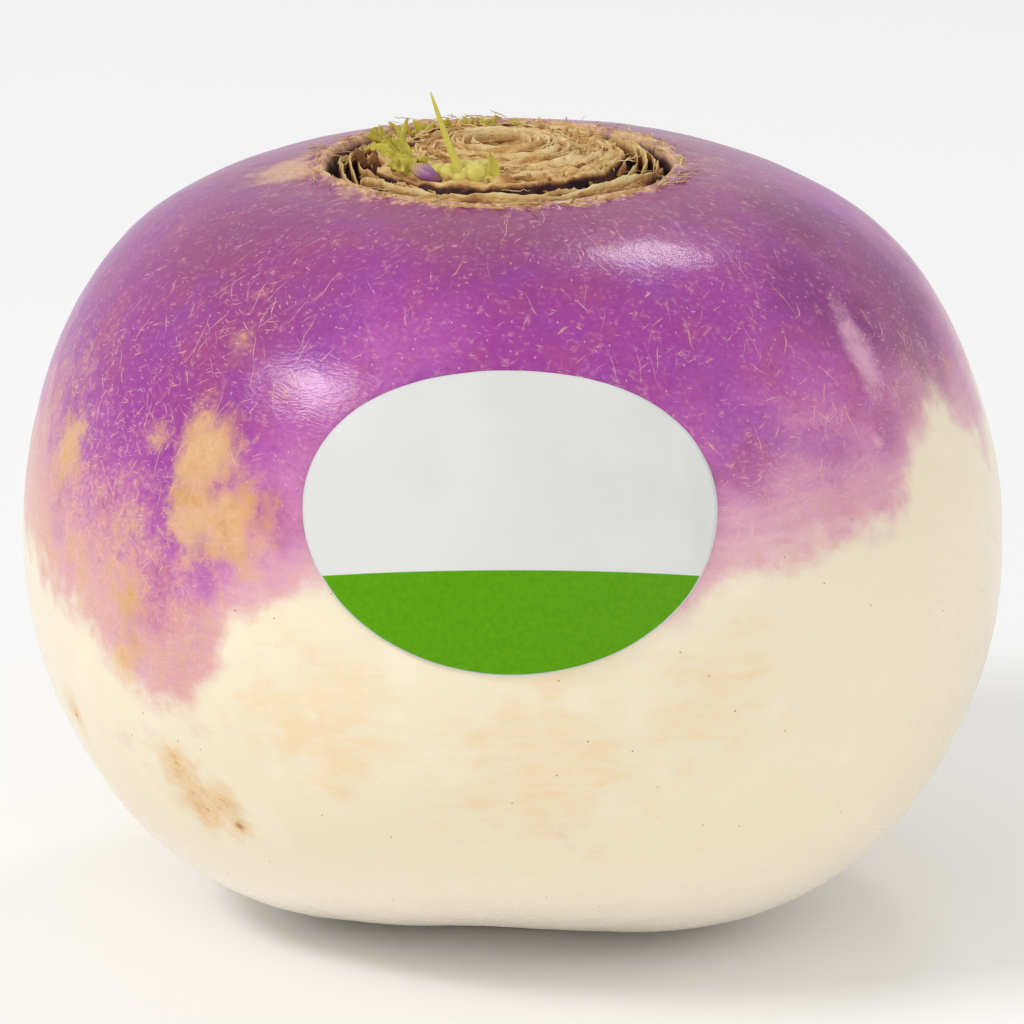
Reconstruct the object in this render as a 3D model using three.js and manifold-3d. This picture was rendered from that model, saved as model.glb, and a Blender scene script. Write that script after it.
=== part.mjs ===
// A purple-top turnip with its leaves cut off and its taproot trimmed flat, sprouting again at the crown,
// with a plain oval paper label on its front. It is 90 mm across and stands on the taproot's cut end.
//
// Millimetres, +Z up. The origin is the middle of that flat end, and the label faces -Y.
// phi is the angle down from the crown, and theta the angle round the root, from +X towards +Y.
import * as THREE from "three";
import { mergeVertices } from "three/addons/utils/BufferGeometryUtils.js";
import Module from "manifold-3d";

const wasm = await Module();
wasm.setup();

const DEG = Math.PI / 180;
const TURN = 360 * DEG;
const FRONT = -90 * DEG;

// The root: a squarish round, wider than high, swollen round its girth
const BODY_RADIUS = 41.5;
const TOP_HEIGHT = 33.8;
const BOTTOM_HEIGHT = 36.4;
const TOP_SQUARENESS = 3.0;
const BOTTOM_SQUARENESS = 2.85;
const GIRTH_SWELL = 0.085;
const GIRTH_AT = 93.4 * DEG;
const GIRTH_SPAN = 23.7 * DEG;
const CROWN_LEAN = -0.014;
const BODY_ROWS = 40;
const BODY_COLUMNS = 84;

// The taproot's stump, cut flat just below the root's own underside
const STUMP_HEIGHT = 2.4;
const STUMP_SPAN = 13 * DEG;
const UNDERSIDE_HEIGHT = 0.25;
const MIDDLE_Z = BOTTOM_HEIGHT + UNDERSIDE_HEIGHT;

// The furrows, on opposite sides, that the side roots grew from
const SIDE_FURROWS = [-131 * DEG, 49 * DEG];
const FURROW_DEPTH = 0.012;
const FURROW_WIDTH = 9 * DEG;

// The crown: a shallow dish in the root's top, with a raised lip, that holds the dry leaf bases
const CROWN = new THREE.Vector2(-1.2, -1.4);
const RIM_Z = MIDDLE_Z + TOP_HEIGHT - 0.15;
const DISH_RADIUS = 15.7;
const DISH_DEPTH = 3.2;
const LIP_HEIGHT = 0.75;
const LIP_RADIUS = 16.4;
const LIP_WIDTH = 1.5;
const FIT_GAP = 0.3;

// The leaf bases: crescents that wrap the crown in a spiral, the oldest outermost
const GOLDEN_ANGLE = 137.5 * DEG;
const SHEATH_COUNT = 4;
const SHEATH_RADIUS = 14.6;
const SHEATH_THICKNESS = 0.85;
const SCAR_COUNT = 17;
const SCAR_OUTER_RADIUS = 12.6;
const SCAR_INNER_RADIUS = 4.9;
const STUB_COUNT = 9;

// The label: an oval sticker, bent round the front of the root
const LABEL_WIDTH = 37.4;
const LABEL_HEIGHT = 27.2;
const LABEL_PHI = 75.8 * DEG;
const LABEL_THICKNESS = 0.35;
const LABEL_GAP = 0.2;

const COLOURS = {
  root: { color: 0xb878b4, roughness: 0.38 },
  leaf_base_crown: { color: 0xcfb07c, roughness: 0.85 },
  front_sprout: { color: 0xc3cf5e, roughness: 0.5 },
  side_sprout: { color: 0xb4bf45, roughness: 0.5 },
  purple_bud: { color: 0x9a6fae, roughness: 0.4 },
  label: { color: 0xe9eaea, roughness: 0.5 },
};

// Small helpers

const { clamp, lerp, smoothstep } = THREE.MathUtils;
const bell = (x) => Math.exp(-x * x);
const point = (x, y, z) => new THREE.Vector3(x, y, z);

// A point of the crown, by its place seen from above and its height above the rim.
const overRim = (x, y, height) => point(x, y, RIM_Z + height);

// The same, by its distance and direction from the middle of the crown.
function roundCrown(radius, theta, height) {
  return overRim(CROWN.x + radius * Math.cos(theta), CROWN.y + radius * Math.sin(theta), height);
}

// The same numbers from 0 to 1 on every run.
function seededRandom(seed) {
  let state = seed;
  return () => {
    state = (state + 0x6d2b79f5) | 0;
    let t = Math.imul(state ^ (state >>> 15), 1 | state);
    t = (t + Math.imul(t ^ (t >>> 7), 61 | t)) ^ t;
    return ((t ^ (t >>> 14)) >>> 0) / 4294967296;
  };
}

// How far one angle lies from another, from -PI to PI.
function angleBetween(angle, other) {
  return Math.atan2(Math.sin(angle - other), Math.cos(angle - other));
}

// Six times the volume inside an indexed surface, which is negative when its faces point inwards.
function signedVolume(positions, indices) {
  const corners = [point(), point(), point()];
  let sum = 0;
  for (let i = 0; i < indices.length; i += 3) {
    corners.forEach((corner, j) => corner.fromArray(positions, 3 * indices[i + j]));
    sum += corners[0].dot(corners[1].cross(corners[2]));
  }
  return sum;
}

// A closed surface of rings that runs from one single point to another.
// pointAt(row, column) gives its corners, where both run from 0 to 1.
function closedGrid(rows, columns, pointAt) {
  const positions = [...pointAt(0, 0)];
  for (let row = 1; row < rows; row++)
    for (let column = 0; column < columns; column++)
      positions.push(...pointAt(row / rows, column / columns));
  positions.push(...pointAt(1, 0));

  const last = positions.length / 3 - 1;
  const corner = (row, column) => 1 + (row - 1) * columns + (column % columns);
  const indices = [];
  for (let column = 0; column < columns; column++) {
    indices.push(0, corner(1, column), corner(1, column + 1));
    for (let row = 1; row < rows - 1; row++) {
      const [a, b] = [corner(row, column), corner(row + 1, column)];
      const [c, d] = [corner(row + 1, column + 1), corner(row, column + 1)];
      indices.push(a, b, c, a, c, d);
    }
    indices.push(corner(rows - 1, column + 1), corner(rows - 1, column), last);
  }
  if (signedVolume(positions, indices) < 0) indices.reverse();

  const geometry = new THREE.BufferGeometry();
  geometry.setAttribute("position", new THREE.Float32BufferAttribute(positions, 3));
  return geometry.setIndex(indices);
}

// Joins and cuts

function solidOf(geometry) {
  const bare = geometry.clone();
  bare.deleteAttribute("normal");
  bare.deleteAttribute("uv");
  const merged = mergeVertices(bare, 1e-4);
  return new wasm.Manifold(
    new wasm.Mesh({
      numProp: 3,
      vertProperties: new Float32Array(merged.attributes.position.array),
      triVerts: new Uint32Array(merged.index.array),
    }),
  );
}

function geometryOf(solid) {
  const mesh = solid.getMesh();
  const geometry = new THREE.BufferGeometry();
  geometry.setAttribute("position", new THREE.BufferAttribute(mesh.vertProperties, 3));
  return geometry.setIndex(new THREE.BufferAttribute(mesh.triVerts, 1));
}

const joined = (solids) => solids.reduce((sum, solid) => sum.add(solid));

// The biggest of the bodies that a cut leaves. The scraps are dropped.
function biggestBody(solid) {
  return solid.decompose().reduce((best, body) => (body.volume() > best.volume() ? body : best));
}

function named(name, solid) {
  const material = new THREE.MeshStandardMaterial({ ...COLOURS[name], metalness: 0, flatShading: true });
  const mesh = new THREE.Mesh(geometryOf(solid), material);
  mesh.name = name;
  return mesh;
}

// The root

// How much the lower half bulges or draws in round the taproot, as a share of the radius.
function lowerLobes(phi, theta) {
  const strength = smoothstep(phi, 90 * DEG, 150 * DEG) * (1 - smoothstep(phi, 150 * DEG, 168 * DEG));
  const lobes =
    0.008 * Math.cos(theta) -
    0.009 * Math.cos(2 * theta) -
    0.012 * Math.cos(3 * theta) -
    0.054 * Math.sin(3 * theta);
  return strength * Math.sin(phi) * lobes;
}

// The faint swells of the shoulders, on the sides and the back.
function shoulderSwells(phi, theta) {
  const away = 0.5 + 0.5 * Math.cos(angleBetween(theta, -FRONT));
  const strength = Math.sin(phi) ** 2 * smoothstep(phi, 20 * DEG, 60 * DEG);
  return 0.011 * strength * away * Math.cos(4 * theta + 1.2);
}

function sideFurrows(phi, theta) {
  const strength = smoothstep(phi, 96 * DEG, 118 * DEG) * Math.sin(phi) ** 2;
  const [left, right] = SIDE_FURROWS.map((at) => bell(angleBetween(theta, at) / FURROW_WIDTH));
  return -FURROW_DEPTH * strength * (left + right);
}

// The skin's raised lip round the crown, higher in places.
function lipHeight(x, y) {
  const offset = new THREE.Vector2(x, y).sub(CROWN);
  const uneven = 1 + 0.22 * Math.cos(3 * offset.angle() + 0.4) + 0.12 * Math.cos(7 * offset.angle());
  return LIP_HEIGHT * uneven * bell((offset.length() - LIP_RADIUS) / LIP_WIDTH);
}

function bodyPoint(phi, theta) {
  const upper = phi < 90 * DEG;
  const height = upper ? TOP_HEIGHT : BOTTOM_HEIGHT;
  const power = upper ? TOP_SQUARENESS : BOTTOM_SQUARENESS;
  const alongAxis = Math.abs(Math.cos(phi) / height) ** power;
  const acrossAxis = Math.abs(Math.sin(phi) / BODY_RADIUS) ** power;
  const girth = 1 + GIRTH_SWELL * bell((phi - GIRTH_AT) / GIRTH_SPAN);
  const relief = 1 + lowerLobes(phi, theta) + shoulderSwells(phi, theta) + sideFurrows(phi, theta);
  const stump = STUMP_HEIGHT * bell((180 * DEG - phi) / STUMP_SPAN);
  const radius = (alongAxis + acrossAxis) ** (-1 / power) * girth * relief + stump;
  const z = radius * Math.cos(phi);
  const x = radius * Math.sin(phi) * Math.cos(theta) + CROWN_LEAN * z;
  const y = radius * Math.sin(phi) * Math.sin(theta);
  return point(x, y, MIDDLE_Z + z + (upper ? lipHeight(x, y) : 0));
}

// The way out of the skin at a point of the body.
function bodyNormal(phi, theta) {
  const step = 0.5 * DEG;
  const down = bodyPoint(phi + step, theta).sub(bodyPoint(phi - step, theta));
  const round = bodyPoint(phi, theta + step).sub(bodyPoint(phi, theta - step));
  return down.cross(round).normalize();
}

// The dish's radius, which is uneven where the skin tore.
function dishRadius(theta) {
  return (
    DISH_RADIUS +
    0.3 * Math.cos(2 * theta + 0.5) +
    0.22 * Math.cos(5 * theta + 2.1) +
    0.14 * Math.cos(11 * theta)
  );
}

// The space of the dish, as a plug to cut the root with: [share of the radius, height over the rim].
function dishPlug() {
  const profile = [
    [0, -DISH_DEPTH],
    [0.86, -DISH_DEPTH],
    [0.95, 0.5 - DISH_DEPTH],
    [0.985, 1.8 - DISH_DEPTH],
    [1, 0],
    [1.03, 6],
    [0, 6],
  ];
  const rows = profile.length - 1;
  return closedGrid(rows, 55, (row, column) => {
    const [share, height] = profile[Math.round(row * rows)];
    return roundCrown(share * dishRadius(column * TURN), column * TURN, height);
  });
}

function root() {
  const body = closedGrid(BODY_ROWS, BODY_COLUMNS, (row, column) => bodyPoint(row * 180 * DEG, column * TURN));
  const depth = 10;
  const belowBase = new THREE.BoxGeometry(200, 200, depth).translate(0, 0, -depth / 2);
  return solidOf(body).subtract(solidOf(dishPlug())).subtract(solidOf(belowBase));
}

// The crown of dry leaf bases

// The disc that the leaf bases are fused to, from the middle of its underside, round its edge, to the pit at
// its top, where the youngest leaves were: [radius, height over the rim].
function crownDisc() {
  const floor = FIT_GAP - DISH_DEPTH;
  const profile = [
    [0, floor],
    [12.9, floor],
    [14.4, floor + 0.3],
    [14.3, floor + 1.2],
    [12.7, floor + 1.5],
    [12.4, -0.5],
    [11.2, 0.1],
    [8.6, 0.35],
    [6.3, 0.55],
    [5.0, 0.1],
    [3.9, -1.3],
    [2.0, -1.9],
    [0, -2.0],
  ];
  const rows = profile.length - 1;
  return closedGrid(rows, 40, (row, column) => {
    const [radius, height] = profile[Math.round(row * rows)];
    const theta = column * TURN;
    const uneven = 1 + 0.012 * Math.cos(3 * theta + 1) + 0.01 * Math.cos(7 * theta);
    return roundCrown(radius * uneven, theta, height);
  });
}

// One leaf base: a wall along an arc of the crown, thickest at its middle, with a torn top edge.
// foot and top are heights over the rim, and the arc draws in by tuck at its ends.
function leafBase({ middle, halfSpan, radius, tuck, thickness, foot, top, tear, lean, draw }) {
  const steps = 13;
  const wave = draw() * TURN;
  const tears = Array.from({ length: steps + 1 }, () => tear * (draw() - 0.5));
  // Round the wall's section: how far out, in thicknesses, and how far up from foot to top
  const section = [
    [-0.5, 0],
    [-0.4, 0.9],
    [0.1, 1],
    [0.5, 0.8],
    [0.5, 0],
  ];
  return closedGrid(steps, section.length, (row, column) => {
    const along = 2 * row - 1;
    const [out, up] = section[Math.round(column * section.length)];
    const full = Math.sqrt(1 - along * along);
    const edge = lerp(foot, top, 0.35 + 0.65 * full) + tears[Math.round(row * steps)] * full;
    const height = lerp(foot, edge, up);
    const wobble = 0.22 * Math.sin(2.5 * along * Math.PI + wave);
    const wall = thickness * (0.7 + 0.3 * full);
    const r = radius - tuck * along * along + wobble + out * wall + lean * (height - foot);
    return roundCrown(r, middle + along * halfSpan, height);
  });
}

// The thin outer sheaths, which stand free in the dish.
function sheaths(draw) {
  return Array.from({ length: SHEATH_COUNT }, (_, i) =>
    leafBase({
      middle: -100 * DEG + i * 96 * DEG,
      halfSpan: lerp(46, 56, draw()) * DEG,
      radius: SHEATH_RADIUS - 0.35 * (i % 2),
      tuck: 0.9,
      thickness: SHEATH_THICKNESS,
      foot: 0.6 - DISH_DEPTH,
      top: 0.3 * draw() - 0.1,
      tear: 0.5,
      lean: -0.04,
      draw,
    }),
  );
}

// The crescent scars, from the oldest at the edge to the youngest round the pit.
function scars(draw) {
  return Array.from({ length: SCAR_COUNT }, (_, i) => {
    const youth = i / (SCAR_COUNT - 1);
    return leafBase({
      middle: i * GOLDEN_ANGLE,
      halfSpan: lerp(58, 96, youth) * DEG,
      radius: lerp(SCAR_OUTER_RADIUS, SCAR_INNER_RADIUS, youth ** 0.9),
      tuck: lerp(1.0, 0.3, youth),
      thickness: lerp(1.35, 0.85, youth),
      foot: -1.6,
      top: lerp(0.35, 1.35, youth) + 0.25 * draw(),
      tear: 0.55,
      lean: lerp(0.1, -0.12, youth),
      draw,
    });
  });
}

// The torn stubs that stand up behind the pit, where the last stalks were pulled off.
function stubs(draw) {
  return Array.from({ length: STUB_COUNT }, (_, i) => {
    const theta = lerp(25, 165, (i + 0.6 * draw()) / STUB_COUNT) * DEG;
    const foot = roundCrown(lerp(9.2, 11.6, draw()), theta, -0.6);
    const tip = foot.clone().add(point(0.7 * (draw() - 0.5), 0.7 * (draw() - 0.5), lerp(1.5, 2.3, draw())));
    return taperedStem([foot, foot.clone().lerp(tip, 0.5), tip], [0.55, 0.42, 0.3], 5, 5);
  });
}

// The sprouts

// A round stem along a smooth curve, closed at both ends, with its radius given at each point of the curve.
function taperedStem(points, radii, sides = 8, steps = 12) {
  const curve = new THREE.CatmullRomCurve3(points);
  const { normals, binormals } = curve.computeFrenetFrames(steps, false);
  const spans = points.length - 1;
  const radiusAt = (t) => {
    const span = Math.min(Math.floor(t * spans), spans - 1);
    return lerp(radii[span], radii[span + 1], t * spans - span);
  };
  return closedGrid(steps, sides, (row, column) => {
    // The first and last rows close the ends, so the rings between them run from end to end.
    const t = clamp((row * steps - 1) / (steps - 2), 0, 1);
    const centre = curve.getPoint(t);
    if (row === 0 || row === 1) return centre;
    const frame = Math.round(t * steps);
    return centre
      .addScaledVector(normals[frame], radiusAt(t) * Math.cos(column * TURN))
      .addScaledVector(binormals[frame], radiusAt(t) * Math.sin(column * TURN));
  });
}

// An egg shape, blunt at from and slimmer at to, with three low ridges that twist along it.
function ovoid(from, to, radius) {
  const axis = to.clone().sub(from);
  const across = point(0, 0, 1).cross(axis).normalize();
  const over = axis.clone().cross(across).normalize();
  return closedGrid(9, 15, (row, column) => {
    const angle = column * TURN;
    const swell = Math.sin(row * Math.PI) ** 0.8 * (1 - 0.25 * row);
    const r = radius * swell * (1 + 0.06 * Math.cos(3 * angle + 3 * row));
    return from
      .clone()
      .addScaledVector(axis, row)
      .addScaledVector(across, r * Math.cos(angle))
      .addScaledVector(over, r * Math.sin(angle));
  });
}

// The front sprout: a long spike of a leaf and a leaflet on one pale, soft foot. grow makes all of it thicker.
function frontSprout(grow = 0) {
  const spike = taperedStem(
    [overRim(-4.2, -11.0, -1.2), overRim(-4.7, -11.0, 0.7), overRim(-5.8, -10.8, 3.8), overRim(-7.3, -10.5, 8.1)],
    [0.85, 0.66, 0.42, 0.2].map((r) => r + grow),
    8,
    14,
  );
  const leaflet = taperedStem(
    [overRim(-2.4, -11.0, -1.0), overRim(-2.2, -11.05, 0.6), overRim(-2.45, -11.0, 2.3)],
    [0.55, 0.5, 0.2].map((r) => r + grow),
    6,
    9,
  );
  const foot = ovoid(overRim(-5.6, -10.2, -0.1), overRim(-1.5, -10.3, -0.1), 1.35 + grow);
  return joined([spike, leaflet, foot].map(solidOf));
}

// The side sprout: a thick stalk that ends in a torn fork, with a thin forked branch behind it.
function sideSprout(grow = 0) {
  const thicker = (radii) => radii.map((r) => r + grow);
  const stalk = taperedStem(
    [overRim(-8.1, -8.3, -1.2), overRim(-9.1, -7.8, 0.4), overRim(-10.2, -7.4, 1.7), overRim(-11.7, -7.4, 3.0)],
    thicker([0.7, 0.65, 0.72, 0.62]),
    8,
    12,
  );
  const forks = [overRim(-13.0, -7.6, 3.6), overRim(-12.1, -7.2, 4.2)].map((end) =>
    taperedStem([overRim(-11.2, -7.4, 2.6), overRim(-11.9, -7.4, 3.3), end], thicker([0.45, 0.5, 0.32]), 6, 7),
  );
  const split = overRim(-9.9, -6.3, 3.4);
  const branch = taperedStem(
    [overRim(-10.1, -7.3, 1.3), overRim(-10.0, -6.7, 2.4), split],
    thicker([0.42, 0.36, 0.34]),
    6,
    8,
  );
  const prongs = [overRim(-11.0, -6.0, 4.4), overRim(-9.5, -6.0, 4.7)].map((end) =>
    taperedStem([overRim(-9.95, -6.5, 3.1), split.clone().lerp(end, 0.35), end], thicker([0.32, 0.3, 0.2]), 5, 6),
  );
  return joined([stalk, ...forks, branch, ...prongs].map(solidOf));
}

// The bud: closed scales in an egg shape, lying on the crown with its tip down.
function purpleBud(grow = 0) {
  return solidOf(ovoid(overRim(-9.0, -9.3, 1.3), overRim(-6.3, -11.6, 0.3), 1.0 + grow));
}

function leafBaseCrown() {
  const draw = seededRandom(7);
  const leafBases = [crownDisc(), ...sheaths(draw), ...scars(draw), ...stubs(draw)].map(solidOf);
  const sockets = joined([frontSprout(FIT_GAP), sideSprout(FIT_GAP), purpleBud(FIT_GAP)]);
  const roomInDish = solidOf(dishPlug()).translate(0, 0, FIT_GAP);
  return biggestBody(joined(leafBases).subtract(sockets).intersect(roomInDish));
}

// The label

// across and up are distances on the sheet from its middle, and out is how far it stands off the skin.
function labelPoint(across, up, out) {
  const middle = bodyPoint(LABEL_PHI, FRONT);
  const phi = LABEL_PHI - up / Math.hypot(middle.y, middle.z - MIDDLE_Z);
  const theta = FRONT + across / Math.abs(bodyPoint(phi, FRONT).y);
  return bodyPoint(phi, theta).addScaledVector(bodyNormal(phi, theta), out);
}

// The sheet's rings run from the middle of its face out to its edge, and back to the middle of its gummed side.
function label() {
  const ringsToEdge = 6;
  const rows = 2 * ringsToEdge + 1;
  return solidOf(
    closedGrid(rows, 40, (row, column) => {
      const ring = Math.round(row * rows);
      const onFace = ring <= ringsToEdge;
      const share = (onFace ? ring : rows - ring) / ringsToEdge;
      const across = (LABEL_WIDTH / 2) * share * Math.cos(column * TURN);
      const up = (LABEL_HEIGHT / 2) * share * Math.sin(column * TURN);
      return labelPoint(across, up, LABEL_GAP + (onFace ? LABEL_THICKNESS : 0));
    }),
  );
}

const turnip = new THREE.Group();
turnip.add(
  named("root", root()),
  named("leaf_base_crown", leafBaseCrown()),
  named("front_sprout", frontSprout()),
  named("side_sprout", sideSprout()),
  named("purple_bud", purpleBud()),
  named("label", label()),
);

export default turnip;
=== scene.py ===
"""A purple-top turnip: its skin, dry leaf bases, sprouts, bud and blank label, dressed over the solid frame.

Shapes are written in millimetres in the frame's own axes and become metres when a mesh is made. phi is the
angle down from the crown and theta the angle round the root, from +X towards +Y. The label faces -Y.
"""
import math

import bmesh
import bpy
import numpy as np
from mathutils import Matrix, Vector, noise


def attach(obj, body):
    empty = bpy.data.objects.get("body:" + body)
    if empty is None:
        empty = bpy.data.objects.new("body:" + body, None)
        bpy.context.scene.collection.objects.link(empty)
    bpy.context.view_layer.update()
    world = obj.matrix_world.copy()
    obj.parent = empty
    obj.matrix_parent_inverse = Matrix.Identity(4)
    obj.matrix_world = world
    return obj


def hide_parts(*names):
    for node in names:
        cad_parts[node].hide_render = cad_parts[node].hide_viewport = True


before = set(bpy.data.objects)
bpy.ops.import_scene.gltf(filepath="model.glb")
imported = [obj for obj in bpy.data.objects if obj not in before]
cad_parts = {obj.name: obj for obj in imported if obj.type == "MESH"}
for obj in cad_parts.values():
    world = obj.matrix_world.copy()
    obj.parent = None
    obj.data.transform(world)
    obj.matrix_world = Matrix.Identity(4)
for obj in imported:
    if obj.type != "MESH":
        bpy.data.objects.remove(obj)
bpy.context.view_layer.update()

MM = 0.001
TURN = 2 * math.pi
FRONT = -math.pi / 2

# The root
BODY_RADIUS = 41.5
TOP_HEIGHT = 33.8
BOTTOM_HEIGHT = 36.4
TOP_SQUARENESS = 3.0
BOTTOM_SQUARENESS = 2.85
GIRTH_SWELL = 0.085
GIRTH_AT = math.radians(93.4)
GIRTH_SPAN = math.radians(23.7)
CROWN_LEAN = -0.014
STUMP_HEIGHT = 2.4
STUMP_SPAN = math.radians(13)
UNDERSIDE_HEIGHT = 0.25
MIDDLE_Z = BOTTOM_HEIGHT + UNDERSIDE_HEIGHT
SIDE_FURROWS = (math.radians(-131), math.radians(49))
FURROW_DEPTH = 0.012
FURROW_WIDTH = math.radians(9)

# The crown
CROWN_X = -1.2
CROWN_Y = -1.4
RIM_Z = MIDDLE_Z + TOP_HEIGHT - 0.15
DISH_RADIUS = 15.7
DISH_DEPTH = 3.2
LIP_HEIGHT = 0.75
LIP_RADIUS = 16.4
LIP_WIDTH = 1.5
GOLDEN_ANGLE = math.radians(137.5)
PIT_SHIFT = 2.6
PIT_REACH = 13.5

# The label
LABEL_WIDTH = 37.1
LABEL_HEIGHT = 26.8
LABEL_PHI = math.radians(75.8)
LABEL_THICKNESS = 0.14
LABEL_BAND_TOP = -4.2
LABEL_BAND_SAG = -0.0048
LABEL_RIM = 0.1
LABEL_LIFT = 0.16

# How many points, leaf bases and loose bits there are
SKIN_COLUMNS = 400
SKIN_ROWS = 202
DISC_COLUMNS = 300
SHEATH_COUNT = 7
SCAR_COUNT = 60
TORN_END_COUNT = 16
FLAKE_COUNT = 26
FIBRE_COUNT = 170
CRUMB_COUNT = 170


# Small helpers

def bell(x):
    return np.exp(-x * x)


def smoothstep(x, low, high):
    t = np.clip((x - low) / (high - low), 0, 1)
    return t * t * (3 - 2 * t)


def mix(a, b, t):
    return a + (b - a) * t


def over_rim(x, y, height):
    """A point of the crown, by its place seen from above and its height over the rim."""
    return np.array([x, y, RIM_Z + height])


def seen_from_crown(x, y):
    """The distance and direction of a place from the crown's middle, seen from above."""
    return np.hypot(x - CROWN_X, y - CROWN_Y), np.arctan2(y - CROWN_Y, x - CROWN_X)


def round_crown(radius, theta, height):
    """Points of the crown, by distance and direction from its middle and height over the rim."""
    x = CROWN_X + radius * np.cos(theta)
    y = CROWN_Y + radius * np.sin(theta) + PIT_SHIFT * (1 - np.clip(radius / PIT_REACH, 0, 1))
    return np.stack(np.broadcast_arrays(x, y, RIM_Z + height), -1)


def lumps(points, size, octaves=3, seed=0.0):
    """Fractal noise from about -1 to 1 at each point, with its largest lumps size millimetres apart."""
    shift = Vector((seed, 7.3 * seed, -3.1 * seed))
    flat = np.reshape(points, (-1, 3))
    values = [noise.fractal(Vector(p) / size + shift, 1.0, 2.0, octaves) for p in flat]
    return np.reshape(values, np.shape(points)[:-1])


def uneven(rng, count, turns):
    """A run of count values from -1 to 1 that goes up and down at random, with about that many turns."""
    knots = max(2, int(turns))
    return np.interp(unit(count), unit(knots), rng.uniform(-1, 1, knots))


def unit(count):
    """count values from 0 to 1, evenly spaced."""
    return np.linspace(0, 1, count)


def how_far(points, place, radius=1):
    """The distance of each point from a place, in radii."""
    return np.linalg.norm(points - np.array(place), axis=-1) / radius


# Meshes

def around(columns):
    """The two ends of each side of a ring."""
    return [(column, (column + 1) % columns) for column in range(columns)]


def bands(rows, columns, first=0):
    """The faces between neighbouring rings, whose points are numbered from first."""
    return [
        (ring + a, ring + b, ring + columns + b, ring + columns + a)
        for ring in range(first, first + (rows - 1) * columns, columns)
        for a, b in around(columns)
    ]


class Heap:
    """Closed surfaces gathered for one mesh. Each point has a tint, which its material turns into colour."""

    def __init__(self):
        self.points = []
        self.tints = []
        self.faces = []
        self.count = 0

    def add(self, points, faces, tints):
        flat = np.reshape(points, (-1, 3))
        self.points.append(flat)
        self.tints.append(np.broadcast_to(np.reshape(tints, -1), len(flat)))
        self.faces.extend(tuple(corner + self.count for corner in face) for face in faces)
        self.count += len(flat)

    def all_points(self):
        return np.concatenate(self.points)

    def tube(self, rings, tints):
        """rings[row, column] are the points of a tube, whose two ends are closed by a polygon."""
        rows, columns = rings.shape[:2]
        ends = [tuple(reversed(range(columns))), tuple(range((rows - 1) * columns, rows * columns))]
        self.add(rings, bands(rows, columns) + ends, tints)

    def ball(self, first, rings, last, tints):
        """rings[row, column] between the single points first and last."""
        rows, columns = rings.shape[:2]
        end = 1 + rows * columns
        faces = [(0, 1 + b, 1 + a) for a, b in around(columns)] + bands(rows, columns, 1)
        faces += [(end, end - columns + a, end - columns + b) for a, b in around(columns)]
        self.add(np.concatenate([[first], rings.reshape(-1, 3), [last]]), faces, tints)


def make_piece(name, heap, material, slot, *nodes, attributes=None):
    """Makes an object of a heap that stands for the solid nodes, and rides on the root body."""
    mesh = bpy.data.meshes.new(name)
    mesh.from_pydata((heap.all_points() * MM).tolist(), [], heap.faces)
    values = {"tint": np.concatenate(heap.tints), **(attributes or {})}
    for key, numbers in values.items():
        layer = mesh.attributes.new(key, "FLOAT", "POINT")
        layer.data.foreach_set("value", np.ascontiguousarray(numbers, dtype=np.float32))
    shell = bmesh.new()
    shell.from_mesh(mesh)
    bmesh.ops.recalc_face_normals(shell, faces=shell.faces)
    shell.to_mesh(mesh)
    shell.free()
    mesh.shade_smooth()
    mesh.materials.append(material)
    piece = bpy.data.objects.new(name, mesh)
    bpy.context.scene.collection.objects.link(piece)
    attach(piece, "root")
    if nodes:
        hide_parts(*nodes)
    return piece


# The root's shape

def lower_lobes(phi, theta):
    strength = smoothstep(phi, math.radians(90), math.radians(150))
    strength = strength * (1 - smoothstep(phi, math.radians(150), math.radians(168)))
    lobes = (
        0.008 * np.cos(theta)
        - 0.009 * np.cos(2 * theta)
        - 0.012 * np.cos(3 * theta)
        - 0.054 * np.sin(3 * theta)
    )
    return strength * np.sin(phi) * lobes


def shoulder_swells(phi, theta):
    away = 0.5 + 0.5 * np.cos(theta + FRONT)
    strength = np.sin(phi) ** 2 * smoothstep(phi, math.radians(20), math.radians(60))
    return 0.011 * strength * away * np.cos(4 * theta + 1.2)


def side_furrows(phi, theta):
    strength = smoothstep(phi, math.radians(96), math.radians(118)) * np.sin(phi) ** 2
    total = 0
    for at in SIDE_FURROWS:
        total = total + bell(np.arctan2(np.sin(theta - at), np.cos(theta - at)) / FURROW_WIDTH)
    return -FURROW_DEPTH * strength * total


def lip_height(x, y):
    distance, angle = seen_from_crown(x, y)
    unevenness = 1 + 0.22 * np.cos(3 * angle + 0.4) + 0.12 * np.cos(7 * angle)
    worn_down = 0.3 + 0.2 * np.sin(angle - 0.6)
    return LIP_HEIGHT * unevenness * worn_down * bell((distance - LIP_RADIUS) / LIP_WIDTH)


def body_points(phi, theta):
    upper = phi < math.pi / 2
    height = np.where(upper, TOP_HEIGHT, BOTTOM_HEIGHT)
    power = np.where(upper, TOP_SQUARENESS, BOTTOM_SQUARENESS)
    along_axis = np.abs(np.cos(phi) / height) ** power
    across_axis = np.abs(np.sin(phi) / BODY_RADIUS) ** power
    girth = 1 + GIRTH_SWELL * bell((phi - GIRTH_AT) / GIRTH_SPAN)
    relief = 1 + lower_lobes(phi, theta) + shoulder_swells(phi, theta) + side_furrows(phi, theta)
    stump = STUMP_HEIGHT * bell((math.pi - phi) / STUMP_SPAN)
    radius = (along_axis + across_axis) ** (-1 / power) * girth * relief + stump
    z = radius * np.cos(phi)
    x = radius * np.sin(phi) * np.cos(theta) + CROWN_LEAN * z
    y = radius * np.sin(phi) * np.sin(theta)
    return np.stack([x, y, MIDDLE_Z + z + np.where(upper, lip_height(x, y), 0)], -1)


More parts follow.
